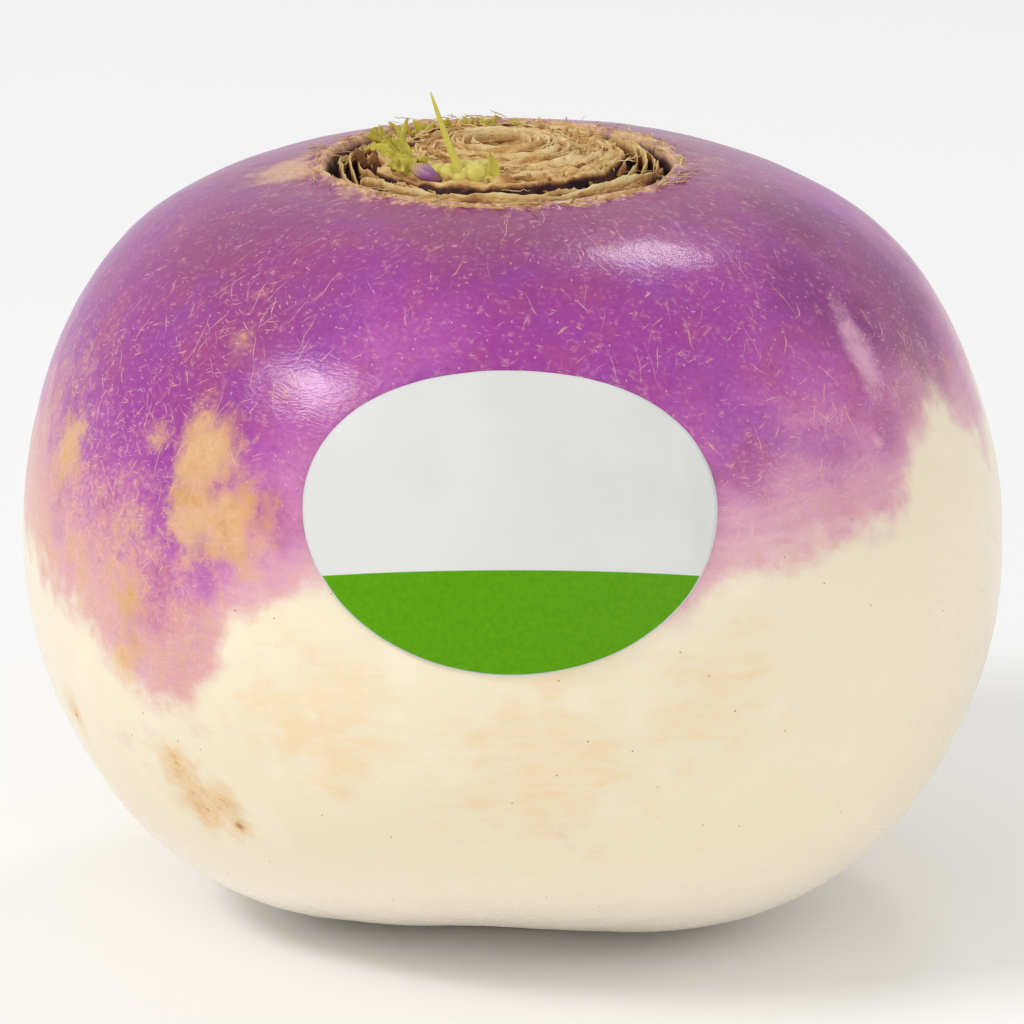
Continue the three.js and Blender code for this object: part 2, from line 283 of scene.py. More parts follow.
def body_normals(phi, theta):
    step = math.radians(0.5)
    down = body_points(phi + step, theta) - body_points(phi - step, theta)
    around = body_points(phi, theta + step) - body_points(phi, theta - step)
    out = np.cross(down, around)
    return out / np.linalg.norm(out, axis=-1, keepdims=True)


def dish_radius(angle):
    uneven_edge = 0.3 * np.cos(2 * angle + 0.5) + 0.22 * np.cos(5 * angle + 2.1) + 0.14 * np.cos(11 * angle)
    return DISH_RADIUS + uneven_edge


def rim_angles(theta):
    """The phi at which the skin ends at the dish, for each theta."""
    phi = np.radians(np.linspace(16, 34, 400))[:, None]
    places = body_points(phi, theta)
    distance, angle = seen_from_crown(places[..., 0], places[..., 1])
    return phi[np.argmax(distance > dish_radius(angle), axis=0), 0]


# Dents in the skin: place, radius and depth in millimetres
DENTS = (
    (-24.2, -31.7, 16.0, 0.9, 0.35), (-27.4, -29.4, 16.4, 1.4, 0.15), (-39.5, -17.4, 22.4, 0.9, 0.25),
    (31.0, -22.0, 58.0, 1.6, 0.12), (28.6, 27.0, 13.0, 1.0, 0.35), (31.0, 29.5, 20.0, 0.8, 0.25),
    (-33.0, 24.0, 30.0, 1.2, 0.2),
)


def skin_relief(points):
    """How far the fine surface stands out of the smooth root, in millimetres."""
    relief = 0.16 * lumps(points, 15, 2, 1.0) + 0.035 * lumps(points, 2.6, 2, 2.0)
    from_crown, _ = seen_from_crown(points[..., 0], points[..., 1])
    by_crown = smoothstep(points[..., 2], RIM_Z - 4, RIM_Z - 1) * bell((from_crown - 16.2) / 2.6)
    relief = relief + by_crown * (0.22 * lumps(points, 1.5, 3, 3.0))
    for *place, radius, depth in DENTS:
        relief = relief - depth * bell(how_far(points, place, radius))
    return relief


def root_heap():
    theta = np.arange(SKIN_COLUMNS) * TURN / SKIN_COLUMNS
    rim_phi = rim_angles(theta)

    share = unit(SKIN_ROWS)[:, None] ** 1.22
    phi = rim_phi + (math.pi - rim_phi) * share[:-1]
    skin = body_points(phi, theta)
    out = skin - np.array([0, 0, MIDDLE_Z])
    out = out / np.linalg.norm(out, axis=-1, keepdims=True)
    edge_fade = smoothstep(phi - rim_phi, 0, math.radians(1.0))[..., None]
    skin = skin + out * (skin_relief(skin)[..., None] * mix(0.4, 1, edge_fade))
    cut_face = 0.06 * (1 + lumps(skin * np.array([1, 1, 0]), 1.6, 3, 5.0))
    skin[..., 2] = np.maximum(skin[..., 2], np.where(phi > math.radians(150), cut_face, 0))

    # The dish, from the middle of its floor out to the lip. Each row has its depth, which is 1 at the floor, and
    # its share of the lip's radius.
    lip = skin[0]
    floor = RIM_Z - DISH_DEPTH
    centre = np.array([CROWN_X, CROWN_Y, 0])
    rows = [(1.0, s) for s in np.linspace(0.1, 0.9, 9)]
    rows += [(d, np.interp(d, [0, 0.15, 0.6, 1], [1, 0.985, 0.97, 0.94])) for d in np.linspace(1, 0.06, 12)]
    dish = []
    for depth, part in rows:
        ring = centre * (1 - part) + lip * part
        ring[:, 2] = mix(lip[:, 2], floor, depth)
        fray = 0.16 * lumps(ring, 1.1, 3, 8.0) * (part > 0.92)
        toward = (ring - centre) * np.array([1, 1, 0])
        toward = toward / np.maximum(np.linalg.norm(toward, axis=-1, keepdims=True), 1e-6)
        dish.append(ring + toward * fray[:, None])
    heap = Heap()
    middle = np.array([CROWN_X, CROWN_Y, floor])
    base = np.array([0.5, 0, 0.06])
    heap.ball(middle, np.concatenate([np.array(dish), skin]), base, 0.5)
    return heap


# The leaf bases

def leaf_wall(
    heap, rng, middle, half_span, radius, tuck, thickness, foot, top, tear, lean, curl, tint, gloom=0.3,
    drift=0.0,
):
    """A dry leaf base: a thin wall along an arc of the crown, with a torn, curled top edge. Painted shade darkens
    it from its foot up to about gloom of its height.
    """
    length = radius * half_span * 2
    steps = int(max(14, length / 0.24))
    levels = 5
    along = np.linspace(-1, 1, steps)
    full = np.sqrt(np.clip(1 - along**2, 0, 1))
    ragged = tear * (0.6 * uneven(rng, steps, length / 1.1) + 0.4 * uneven(rng, steps, length / 0.35))
    top_edge = mix(foot, top, 0.3 + 0.7 * full**0.7) + ragged * (0.3 + 0.7 * full)
    wobble = 0.26 * uneven(rng, steps, length / 2.6) + 0.07 * uneven(rng, steps, length / 0.6)
    wave = curl * uneven(rng, steps, length / 1.8)
    share = np.concatenate([unit(levels), np.linspace(1, 0, levels)])
    side = np.repeat([1, -1], levels)
    wall = thickness * (1 - 0.72 * share**1.5) * 0.5 * side
    height = foot + (top_edge[:, None] - foot) * share
    r = (radius + drift * along - tuck * along**2 + wobble)[:, None] + wall * (0.6 + 0.4 * full)[:, None]
    r = r + lean * (height - foot) + wave[:, None] * share**2
    rings = round_crown(r, (middle + along * half_span)[:, None], height)
    # Painted shade: the wall is dark at its foot and lit above about gloom of its height.
    light = smoothstep(share, gloom - 0.35, gloom + 0.35)
    shade = tint * (0.12 + 0.88 * light) + 0.12 * light * uneven(rng, steps, length / 0.9)[:, None]
    heap.tube(rings, np.clip(shade, 0, 1))


def strand(heap, rng, start, heading, length, thickness, tint, rise=0.0, steps=9):
    """A loose fibre that wanders from start along a heading seen from above, and rises by rise on the way."""
    turn = np.cumsum(rng.normal(0, 0.28, steps))
    step = length / (steps - 1)
    x = start[0] + np.cumsum(np.cos(heading + turn)) * step
    y = start[1] + np.cumsum(np.sin(heading + turn)) * step
    z = start[2] + rise * np.sin(np.linspace(0, 0.6 * math.pi, steps)) + 0.06 * rng.normal(size=steps)
    path = np.stack([x, y, z], -1)
    widths = thickness * np.sin(np.linspace(0.35, math.pi - 0.15, steps)) ** 0.5
    stem(heap, path, widths, widths * 0.7, (0, 0, 1), tint, sides=4)


def curve_through(points, count):
    """count points along a smooth curve through a few points."""
    points = np.asarray(points, float)
    padded = np.concatenate([[2 * points[0] - points[1]], points, [2 * points[-1] - points[-2]]])
    at = np.linspace(0, len(points) - 1, count)
    span = np.minimum(at.astype(int), len(points) - 2)
    t = (at - span)[:, None]
    a, b, c, d = (padded[span + k] for k in range(4))
    return 0.5 * (2 * b + (c - a) * t + (2 * a - 5 * b + 4 * c - d) * t**2 + (3 * b - a - 3 * c + d) * t**3)


def stem(heap, path, widths, depths, facing, tints, sides=10, fold=0.0, ribs=0, rib=0.0):
    """A stem or leaf along a path, with its half widths, half depths and how far its sides fold up."""
    along = np.gradient(path, axis=0)
    along = along / np.linalg.norm(along, axis=1, keepdims=True)
    facing = np.asarray(facing, float)
    out = facing - along * (along @ facing)[:, None]
    out = out / np.linalg.norm(out, axis=1, keepdims=True)
    across = np.cross(along, out)
    angle = np.arange(sides) * TURN / sides
    wavy = 1 + rib * np.cos(ribs * angle)
    sideways = np.asarray(widths)[:, None] * (np.cos(angle) * wavy)[None, :]
    outward = np.asarray(depths)[:, None] * (np.sin(angle) * wavy)[None, :] + fold * np.abs(sideways)
    rings = path[:, None] + sideways[..., None] * across[:, None] + outward[..., None] * out[:, None]
    heap.tube(rings, np.broadcast_to(np.reshape(tints, (-1, 1)), (len(path), sides)))


def round_shape(columns, rows):
    """The rings of a ball of radius 1, without its poles."""
    angle = np.arange(columns) * TURN / columns
    tilt = (np.arange(1, rows + 1) / (rows + 1) * math.pi)[:, None]
    flat = np.sin(tilt)
    return np.stack(np.broadcast_arrays(flat * np.cos(angle), flat * np.sin(angle), np.cos(tilt)), -1)


def crumb(heap, rng, place, size, tint):
    """A small torn bit of dry leaf."""
    shape = round_shape(6, 4) * rng.uniform(0.55, 1.25, (4, 6, 1)) * rng.uniform(0.45, 1.3, 3)
    pole = np.array([0, 0, 0.6]) * size
    heap.ball(place + pole, place + shape * size, place - pole, tint)


def disc_height(radius):
    """The height over the rim of the disc that the leaf bases grew on."""
    return np.interp(
        radius,
        [0, 1.2, 2.1, 2.8, 3.6, 5.0, 8.6, 11.2, 12.2, 12.5, 14.3],
        [-1.9, -1.8, -0.9, 0.5, 0.85, 0.68, 0.4, 0.14, -0.1, -1.7, -2.4],
    )


def disc_reach(radius, theta):
    """The true radius of a ring of the disc, which falls short at the right and the front."""
    return radius * (1 - 0.1 * (0.5 + 0.5 * np.cos(theta + 0.45)) ** 2 * smoothstep(radius, 5, 12))


def disc_place(radius, theta, height):
    return round_crown(disc_reach(radius, theta), theta, height)


def crown_disc(heap):
    theta = np.arange(DISC_COLUMNS) * TURN / DISC_COLUMNS
    radius = np.linspace(14.4, 0.35, 74)[:, None]
    # The edges of the oldest leaf bases wind round the disc in one spiral of low steps.
    winding = (radius / 1.05 + theta / TURN) % 1
    height = disc_height(radius) + 0.16 * (1 - winding) ** 1.6 * smoothstep(radius, 3.2, 4.2)
    edge_circle = np.stack([12 * np.cos(theta), 12 * np.sin(theta), 0 * theta], -1)
    wavy = 0.35 * np.sin(3 * theta + 1) + 0.2 * np.sin(7 * theta) + 0.3 * lumps(edge_circle, 1.6, 3, 15.0)
    top = disc_place(radius + wavy * smoothstep(radius, 6, 12), theta, height)
    humps = 0.34 * lumps(top * np.array([1, 1, 0]), 2.7, 2, 13.0) + 0.22 * lumps(top, 1.1, 4, 11.0)
    top[..., 2] += humps * smoothstep(radius, 13.6, 12.6)
    floor = -DISH_DEPTH + 0.35
    under = round_crown(np.linspace(1, 14.2, 8)[:, None], theta, floor)
    rings = np.concatenate([under, top])
    patches = 0.86 - 0.25 * winding + 0.22 * lumps(top, 1.7, 3, 19.0)
    # Painted shade: the disc is black underneath, dark low on its outer wall where it drops into the groove, and
    # darker the deeper in the pit. Each step of the spiral is also a little darker towards its foot.
    tint = np.concatenate([np.zeros((8, DISC_COLUMNS)), np.clip(patches, 0, 1)])
    tint[8:] *= 0.1 + 0.9 * smoothstep(height, -0.4, 0.02)
    tint[8:] = np.where(radius < 2.2, 0.12 + 0.2 * smoothstep(height, -1.8, 0.2), tint[8:])
    middle_under = over_rim(CROWN_X, CROWN_Y + PIT_SHIFT, floor)
    middle_top = over_rim(CROWN_X, CROWN_Y + PIT_SHIFT, disc_height(0))
    heap.ball(middle_under, rings, middle_top, np.concatenate([[0], tint.reshape(-1), [0.3]]))


def leaf_bases_heap():
    rng = np.random.default_rng(7)
    heap = Heap()
    crown_disc(heap)
    foot_of_dish = 0.5 - DISH_DEPTH

    # The outer sheath, near the skin at the front right and further from it at the left
    for i in range(SHEATH_COUNT):
        middle = (i + 0.3) * TURN / SHEATH_COUNT + rng.uniform(-0.1, 0.1)
        near_skin = (0.5 + 0.5 * math.cos(middle + math.radians(50))) ** 2.5
        high = 0.5 + 0.5 * math.sin(middle)
        # Painted shade covers about the lower two thirds to three quarters of each sheath, down in the groove.
        leaf_wall(
            heap, rng, middle, TURN / SHEATH_COUNT * 0.56, 13.25 + 0.6 * near_skin, 0.1, mix(0.34, 0.8, near_skin),
            foot_of_dish, mix(-0.3, 0.12, high) + 0.2 * near_skin + rng.uniform(-0.1, 0.1), 0.26, 0.06, 0.16,
            rng.uniform(0.85, 1.0), gloom=mix(0.76, 0.66, near_skin), drift=0.3,
        )
    # Thin inner leaves in the groove, at the sides and behind
    for middle, span, radius, top in (
        (176, 26, 12.8, 0.2), (207, 16, 12.8, -0.15), (150, 22, 12.9, 0.35), (24, 22, 13.2, 0.25),
        (8, 14, 14.0, -0.1), (62, 24, 13.0, 0.4), (105, 26, 12.8, 0.45), (-30, 14, 13.6, -0.3),
        (228, 18, 12.8, -0.3), (-112, 16, 13.6, -0.4), (-8, 9, 14.6, 0.0), (-50, 30, 14.75, -0.35),
        (-100, 28, 14.85, -0.3), (-22, 20, 14.9, -0.1), (-60, 14, 12.5, -0.5), (-12, 13, 12.5, -0.3),
        (180, 28, 14.5, -0.9), (120, 32, 14.6, -0.3), (75, 26, 14.7, -0.1), (152, 18, 14.2, -0.5),
        (222, 26, 14.6, -1.0),
    ):
        leaf_wall(
            heap, rng, math.radians(middle), math.radians(span), radius, 0.2, 0.26, foot_of_dish, top, 0.4,
            rng.uniform(-0.12, 0.08), 0.22, rng.uniform(0.6, 0.9), gloom=0.72, drift=rng.uniform(-0.5, 0.5),
        )

    # The scars, from the oldest at the edge to the youngest round the pit
    for i in range(SCAR_COUNT):
        youth = i / (SCAR_COUNT - 1)
        radius = mix(12.0, 3.1, youth**0.85) + rng.uniform(-0.35, 0.35)
        shades = [0.3, 0.6, 0.8, 0.95, 1.0] if youth < 0.6 else [0.7, 0.8, 0.9, 0.95, 1.0]
        leaf_wall(
            heap, rng, i * GOLDEN_ANGLE, math.radians(mix(20, 96, youth**1.5)) * rng.uniform(0.6, 1.15),
            disc_reach(radius, i * GOLDEN_ANGLE), mix(0.3, 0.12, youth), mix(0.36, 0.42, youth),
            disc_height(radius) - 0.6,
            disc_height(radius) + mix(0.26, 0.5, youth) + rng.uniform(-0.2, 0.3), mix(0.26, 0.12, youth),
            rng.uniform(-0.5, 0.45), mix(0.26, 0.14, youth), rng.choice(shades), gloom=0.35,
            drift=rng.uniform(-0.7, 0.7) * (1 - youth) ** 0.5,
        )

    # Torn ends that stand up behind the pit
    for i in range(TORN_END_COUNT):
        theta = mix(0.15, math.pi - 0.15, (i + rng.uniform(0, 0.7)) / TORN_END_COUNT)
        radius = rng.uniform(8.6, 12.2)
        foot = round_crown(radius, theta, disc_height(radius) - 0.4)
        tip = foot + np.array([rng.uniform(-0.5, 0.5), rng.uniform(-0.5, 0.5), rng.uniform(0.8, 1.7)])
        path = curve_through([foot, mix(foot, tip, 0.5) + rng.uniform(-0.15, 0.15, 3), tip], 8)
        widths = np.linspace(0.55, 0.14, 8) * rng.uniform(0.7, 1.1, 8)
        facing = (rng.uniform(-1, 1), -1, 0.2)
        stem(heap, path, widths, widths * 0.5, facing, np.linspace(0.5, 0.9, 8), sides=7)

    # The dried stalks at the left
    for x, y, height, reach in ((-14.4, -3.2, 0.9, 1.2), (-13.2, -1.4, 0.8, 1.0), (-12.9, -5.0, 0.9, 0.9)):
        foot = over_rim(x + reach, y, -0.6)
        tip = over_rim(x, y, height)
        path = curve_through([foot, mix(foot, tip, 0.55) + [0, 0, 0.35], tip], 9)
        widths = np.array([0.4, 0.42, 0.38, 0.4, 0.46, 0.42, 0.5, 0.52, 0.3])
        tints = np.linspace(0.15, 0.45, 9)
        stem(heap, path, widths, widths * 0.8, (0, -1, 1), tints, sides=8, ribs=3, rib=0.12)

    # Loose fibres that follow the rings, and crumbs
    for _ in range(FIBRE_COUNT):
        radius = rng.uniform(2.0, 13.4)
        theta = rng.uniform(0, TURN)
        start = disc_place(radius, theta, np.maximum(disc_height(radius), -0.9) + rng.uniform(0.15, 0.5))
        heading = theta + math.pi / 2 + rng.normal(0, 0.35)
        strand(
            heap, rng, start, heading, rng.uniform(1.0, 4.2), rng.uniform(0.04, 0.1), rng.uniform(0.6, 1.0),
            rise=rng.uniform(-0.15, 0.25),
        )
    for _ in range(CRUMB_COUNT):
        radius = 13.2 * math.sqrt(rng.uniform(0.005, 1))
        place = disc_place(radius, rng.uniform(0, TURN), disc_height(radius) + rng.uniform(0.1, 0.5))
        crumb(heap, rng, place, rng.uniform(0.1, 0.3), rng.uniform(0.35, 1.0))
    return heap


def torn_edge_heap():
    """The corky, frayed edge of the skin round the crown: low flakes, and fibres that lie over the skin."""
    rng = np.random.default_rng(21)
    heap = Heap()
    for i in range(FLAKE_COUNT):
        middle = i * TURN / FLAKE_COUNT + rng.uniform(-0.1, 0.1)
        radius = dish_radius(middle) + rng.uniform(0.1, 0.7)
        crest = skin_height(*round_crown(radius, middle, 0)[:2]) - RIM_Z
        leaf_wall(
            heap, rng, middle, rng.uniform(0.08, 0.24), radius, 0.05, 0.3, crest - 0.9,
            crest + rng.uniform(-0.05, 0.16), 0.16, rng.uniform(0.0, 0.5), 0.14, rng.uniform(0.65, 0.95), gloom=0.2,
        )
    for _ in range(FIBRE_COUNT):
        theta = rng.uniform(0, TURN)
        radius = dish_radius(theta) + rng.uniform(-0.1, 1.5)
        heading = theta + math.pi / 2 + rng.normal(0, 0.5)
        place = round_crown(radius, theta, 0)
        place[2] = skin_height(place[0], place[1]) + 0.05
        strand(
            heap, rng, place, heading, rng.uniform(0.7, 2.6), rng.uniform(0.035, 0.08), rng.uniform(0.5, 1.0),
            rise=rng.uniform(-0.05, 0.15), steps=7,
        )
    return heap


def skin_height(x, y):
    """The height of the smooth root's upper side over a place seen from above."""
    phi = np.radians(np.linspace(5, 45, 240))
    theta = math.atan2(y, x)
    places = body_points(phi, np.full_like(phi, theta))
    reach = np.hypot(places[:, 0], places[:, 1])
    return float(np.interp(math.hypot(x, y), reach, places[:, 2]))


# The sprouts

def shoot(heap, places, count, stops, widths, tints, facing, depth=0.7, thick=0.0, spread=1.0, ease=1.0, **form):
    """A stem through places given from the rim, with half widths at stops from its foot, 0, to its tip, 1."""
    path = curve_through([over_rim(*place) for place in places], count)
    widths = spread * np.interp(unit(count), stops, widths)
    stem(heap, path, widths, widths * depth + thick, facing, mix(*tints, unit(count) ** ease), **form)


def front_sprout_heap():
    heap = Heap()
    shoot(
        heap, ((-4.1, -11.0, -1.0), (-4.6, -11.0, 0.7), (-5.8, -10.8, 3.8), (-7.3, -10.5, 8.1)), 30,
        (0, 0.2, 0.5, 0.85, 1), (0.95, 0.66, 0.4, 0.22, 0.07), (0.25, 0.6), (0.25, -1, 0.3),
        depth=0.62, ease=0.6, sides=16, fold=-0.35,
    )

    # The leaflet is a small folded blade, with a second one behind it.
    for places, width, shade in (
        (((-2.3, -10.9, -0.9), (-1.7, -11.1, 0.9), (-2.0, -10.9, 2.7)), 0.72, 1.0),
        (((-2.6, -10.2, -0.9), (-2.5, -10.2, 0.8), (-1.2, -10.0, 1.7)), 0.5, 0.8),
    ):
        shoot(
            heap, places, 18, (0, 0.35, 0.65, 1), (0.9, 1, 0.7, 0.07), (0.3, shade), (0.1, -1, 0.2),
            depth=0, thick=0.14, spread=width, sides=14, fold=0.55,
        )

    # The soft foot: pale swellings grown together
    rng = np.random.default_rng(5)
    for x, y, height, size in (
        (-4.5, -10.5, 0.3, 1.1), (-3.2, -10.6, 0.55, 1.2), (-5.7, -10.2, 0.5, 1.05), (-2.2, -10.8, 0.1, 0.95),
        (-3.9, -9.8, 0.9, 1.05), (-2.7, -9.8, 0.95, 0.9), (-6.6, -9.6, 0.5, 1.0),
    ):
        swelling(heap, rng, over_rim(x, y, height), size)
    return heap


def swelling(heap, rng, place, size):
    """A soft, uneven lump."""
    shape = round_shape(20, 12)
    shape = shape * (1 + 0.16 * lumps(place + shape * size, 0.8, 2, 4.0))[..., None]
    squash = np.array([1, 1, rng.uniform(0.75, 1.0)]) * size
    pole = np.array([0, 0, 1]) * squash
    heap.ball(place + pole, place + shape * squash, place - pole, 0.34)


def side_sprout_heap():
    heap = Heap()
    shoot(
        heap, ((-8.1, -8.4, -1.1), (-9.1, -7.8, 0.4), (-10.2, -7.4, 1.7), (-11.7, -7.4, 3.0)), 24,
        (0, 0.3, 0.6, 1), (0.78, 0.62, 0.75, 0.55), (0.25, 0.85), (0, -1, 0.3),
        depth=0.8, sides=14, ribs=5, rib=0.07,
    )
    for x, y, height, size in (
        (-13.1, -7.7, 3.5, 0.44), (-12.7, -7.3, 4.0, 0.36), (-11.9, -7.1, 4.2, 0.4), (-11.1, -7.6, 3.4, 0.3),
    ):
        shoot(
            heap, ((-11.0, -7.4, 2.4), (-11.7, -7.4, 3.0), (x, y, height)), 12, (0, 0.7, 1), (1.1, 1.0, 0.45),
            (0.7, 1.0), (0, -1, 0.5), spread=size, sides=9,
        )

    # Small crumpled leaves about the stalk
    rng = np.random.default_rng(9)
    for places, width in (
        (((-8.6, -8.6, -0.6), (-9.6, -8.5, 0.7), (-11.2, -8.8, 1.0)), 0.75),
        (((-8.9, -8.2, 0.2), (-10.4, -8.3, 1.5), (-12.2, -8.6, 2.3)), 0.62),
        (((-9.0, -7.8, 0.3), (-9.6, -7.6, 1.9), (-10.9, -7.7, 3.3)), 0.55),
        (((-8.2, -8.3, -0.4), (-8.3, -8.4, 0.9), (-7.6, -8.7, 1.6)), 0.6),
        (((-10.6, -7.6, 1.8), (-11.9, -8.2, 2.5), (-13.2, -8.4, 2.4)), 0.42),
    ):
        blade = curve_through([over_rim(*place) for place in places], 16)
        blade[1:] += 0.07 * rng.normal(size=(15, 3))
        widths = width * np.interp(unit(16), (0, 0.4, 0.75, 1), (0.6, 1, 0.8, 0.15))
        widths = widths * (1 + 0.2 * uneven(rng, 16, 8))
        stem(heap, blade, widths, np.full(16, 0.16), (0.2, -1, 0.5), mix(0.35, 0.9, unit(16)), sides=12, fold=0.5)

    # The thin branch and its fork
    split = np.array([-9.9, -6.3, 3.4])
    shoot(
        heap, ((-10.1, -7.3, 1.2), (-10.0, -6.7, 2.4), split), 14, (0, 1), (0.42, 0.33), (0.6, 0.75), (0, -1, 0),
        depth=1, sides=10, ribs=3, rib=0.08,
    )
    for end in ((-11.1, -6.0, 4.3), (-9.4, -6.0, 4.7), (-10.2, -5.9, 3.9)):
        shoot(
            heap, ((-9.95, -6.5, 3.0), mix(split, np.array(end), 0.4), end), 9, (0, 1), (0.34, 0.12), (0.7, 0.95),
            (0, -1, 0.3), sides=8,
        )
    return heap


def young_tips_heap():
    """Short forked tips of new leaves that show over the back of the crown."""
    rng = np.random.default_rng(31)
    heap = Heap()
    for x, y in ((-9.4, 6.4), (-8.0, 8.2), (-5.7, 9.4), (-4.3, 9.9), (-2.0, 10.2), (0.8, 10.3)):
        foot = over_rim(x, y, -0.1)
        for lean in (-0.9, -0.2, 0.7):
            tip = foot + [lean + rng.uniform(-0.2, 0.2), rng.uniform(-0.3, 0.3), rng.uniform(0.8, 1.4)]
            path = curve_through([foot, mix(foot, tip, 0.5) + rng.uniform(-0.12, 0.12, 3), tip], 8)
            widths = np.interp(unit(8), [0, 0.6, 1], [0.26, 0.32, 0.1])
            stem(heap, path, widths, widths * 0.6, (0, -1, 0.3), np.linspace(0.5, 0.95, 8), sides=7)
    return heap


def bud_heap():
    """Overlapping scales that close over each other towards the tip."""
    heap = Heap()
    foot = over_rim(-8.9, -9.4, 0.95)
    tip = over_rim(-6.4, -11.5, 0.15)
    axis = tip - foot
    ahead = axis / np.linalg.norm(axis)
    side = np.cross(ahead, [0, 0, 1])
    side = side / np.linalg.norm(side)
    over = np.cross(side, ahead)
    along = unit(20)
    for i in range(5):
        turn = i * GOLDEN_ANGLE
        outward = math.cos(turn) * side + math.sin(turn) * over
        bulge = 0.52 * np.sin(np.clip(along * 1.08, 0, 1) * math.pi) ** 0.7
        reach = mix(1.0, 0.86, i / 5)
        path = foot + axis * (along * reach)[:, None] + outward * (bulge * mix(0.75, 1, i / 5))[:, None]
        widths = 0.78 * np.sin(np.interp(along, [0, 1], [0.5, math.pi - 0.1])) ** 0.8
        stem(heap, path, widths, 0.2 * widths + 0.05, outward, along, sides=12, fold=-0.3)
    core = foot + axis * along[:, None]
    widths = 0.72 * np.sin(np.interp(along, [0, 1], [0.45, math.pi - 0.12])) ** 0.8
    stem(heap, core, widths, widths, (0, 0, 1), along, sides=14)
    return heap


# The label

def label_piece(material):
    """The sheet's rings run from the middle of its face to its edge, and back to the middle of its gummed side."""
    columns = 180
    to_edge = 48
    angle = np.arange(columns) * TURN / columns
    share = np.concatenate([np.linspace(0, 1, to_edge + 1)[1:], np.linspace(1, 0, to_edge + 1)[:-1]])
    across = LABEL_WIDTH / 2 * share[:, None] * np.cos(angle)
    up = LABEL_HEIGHT / 2 * share[:, None] * np.sin(angle)
    middle = body_points(np.array(LABEL_PHI), np.array(FRONT))
    phi = LABEL_PHI - up / math.hypot(middle[1], middle[2] - MIDDLE_Z)
    theta = FRONT + across / np.abs(body_points(phi, np.full_like(phi, FRONT))[..., 1])
    skin = body_points(phi, theta)
    edge = smoothstep(share, 0.72, 0.98)[:, None]
    creases = 0.05 * np.sin(across * 1.7 + 0.8 * np.sin(up * 0.5)) * smoothstep(np.abs(across), 11, 17)
    lift = LABEL_LIFT + edge * (0.07 * lumps(skin, 3.2, 2, 9.0) + creases) + 0.02 * lumps(skin, 5, 2, 6.0)
    on_face = (np.arange(2 * to_edge) < to_edge)[:, None]
    lift = np.where(on_face, lift + LABEL_THICKNESS, lift)
    points = skin + body_normals(phi, theta) * lift[..., None]
    out = body_normals(np.array(LABEL_PHI), np.array(FRONT))
    heap = Heap()
    heap.ball(middle + out * (LABEL_LIFT + LABEL_THICKNESS), points, middle + out * LABEL_LIFT, 0.5)
    places = {
        name: np.concatenate([[0], values.reshape(-1), [0]]) for name, values in (("across", across), ("up", up))
    }
    return make_piece("blank_label", heap, material, "label_paper", "label", attributes=places)


# Materials

def colour(red, green, blue):
    """A colour given as screen values from 0 to 255, in the linear values that shaders use."""
    values = [v / 255 for v in (red, green, blue)]
    return (*[v / 12.92 if v <= 0.04045 else ((v + 0.055) / 1.055) ** 2.4 for v in values], 1)


class Field:
    """A value that varies over a surface: one output of a node, which formulas can be written with."""

    def __init__(self, paint, socket):
        self.paint = paint
        self.socket = socket

    def __add__(self, other):
        return self.paint.math("ADD", self, other)

    def __sub__(self, other):
        return self.paint.math("SUBTRACT", self, other)

    def __rsub__(self, other):
        return self.paint.math("SUBTRACT", other, self)

    def __mul__(self, other):
        return self.paint.math("MULTIPLY", self, other)

    __radd__ = __add__
    __rmul__ = __mul__


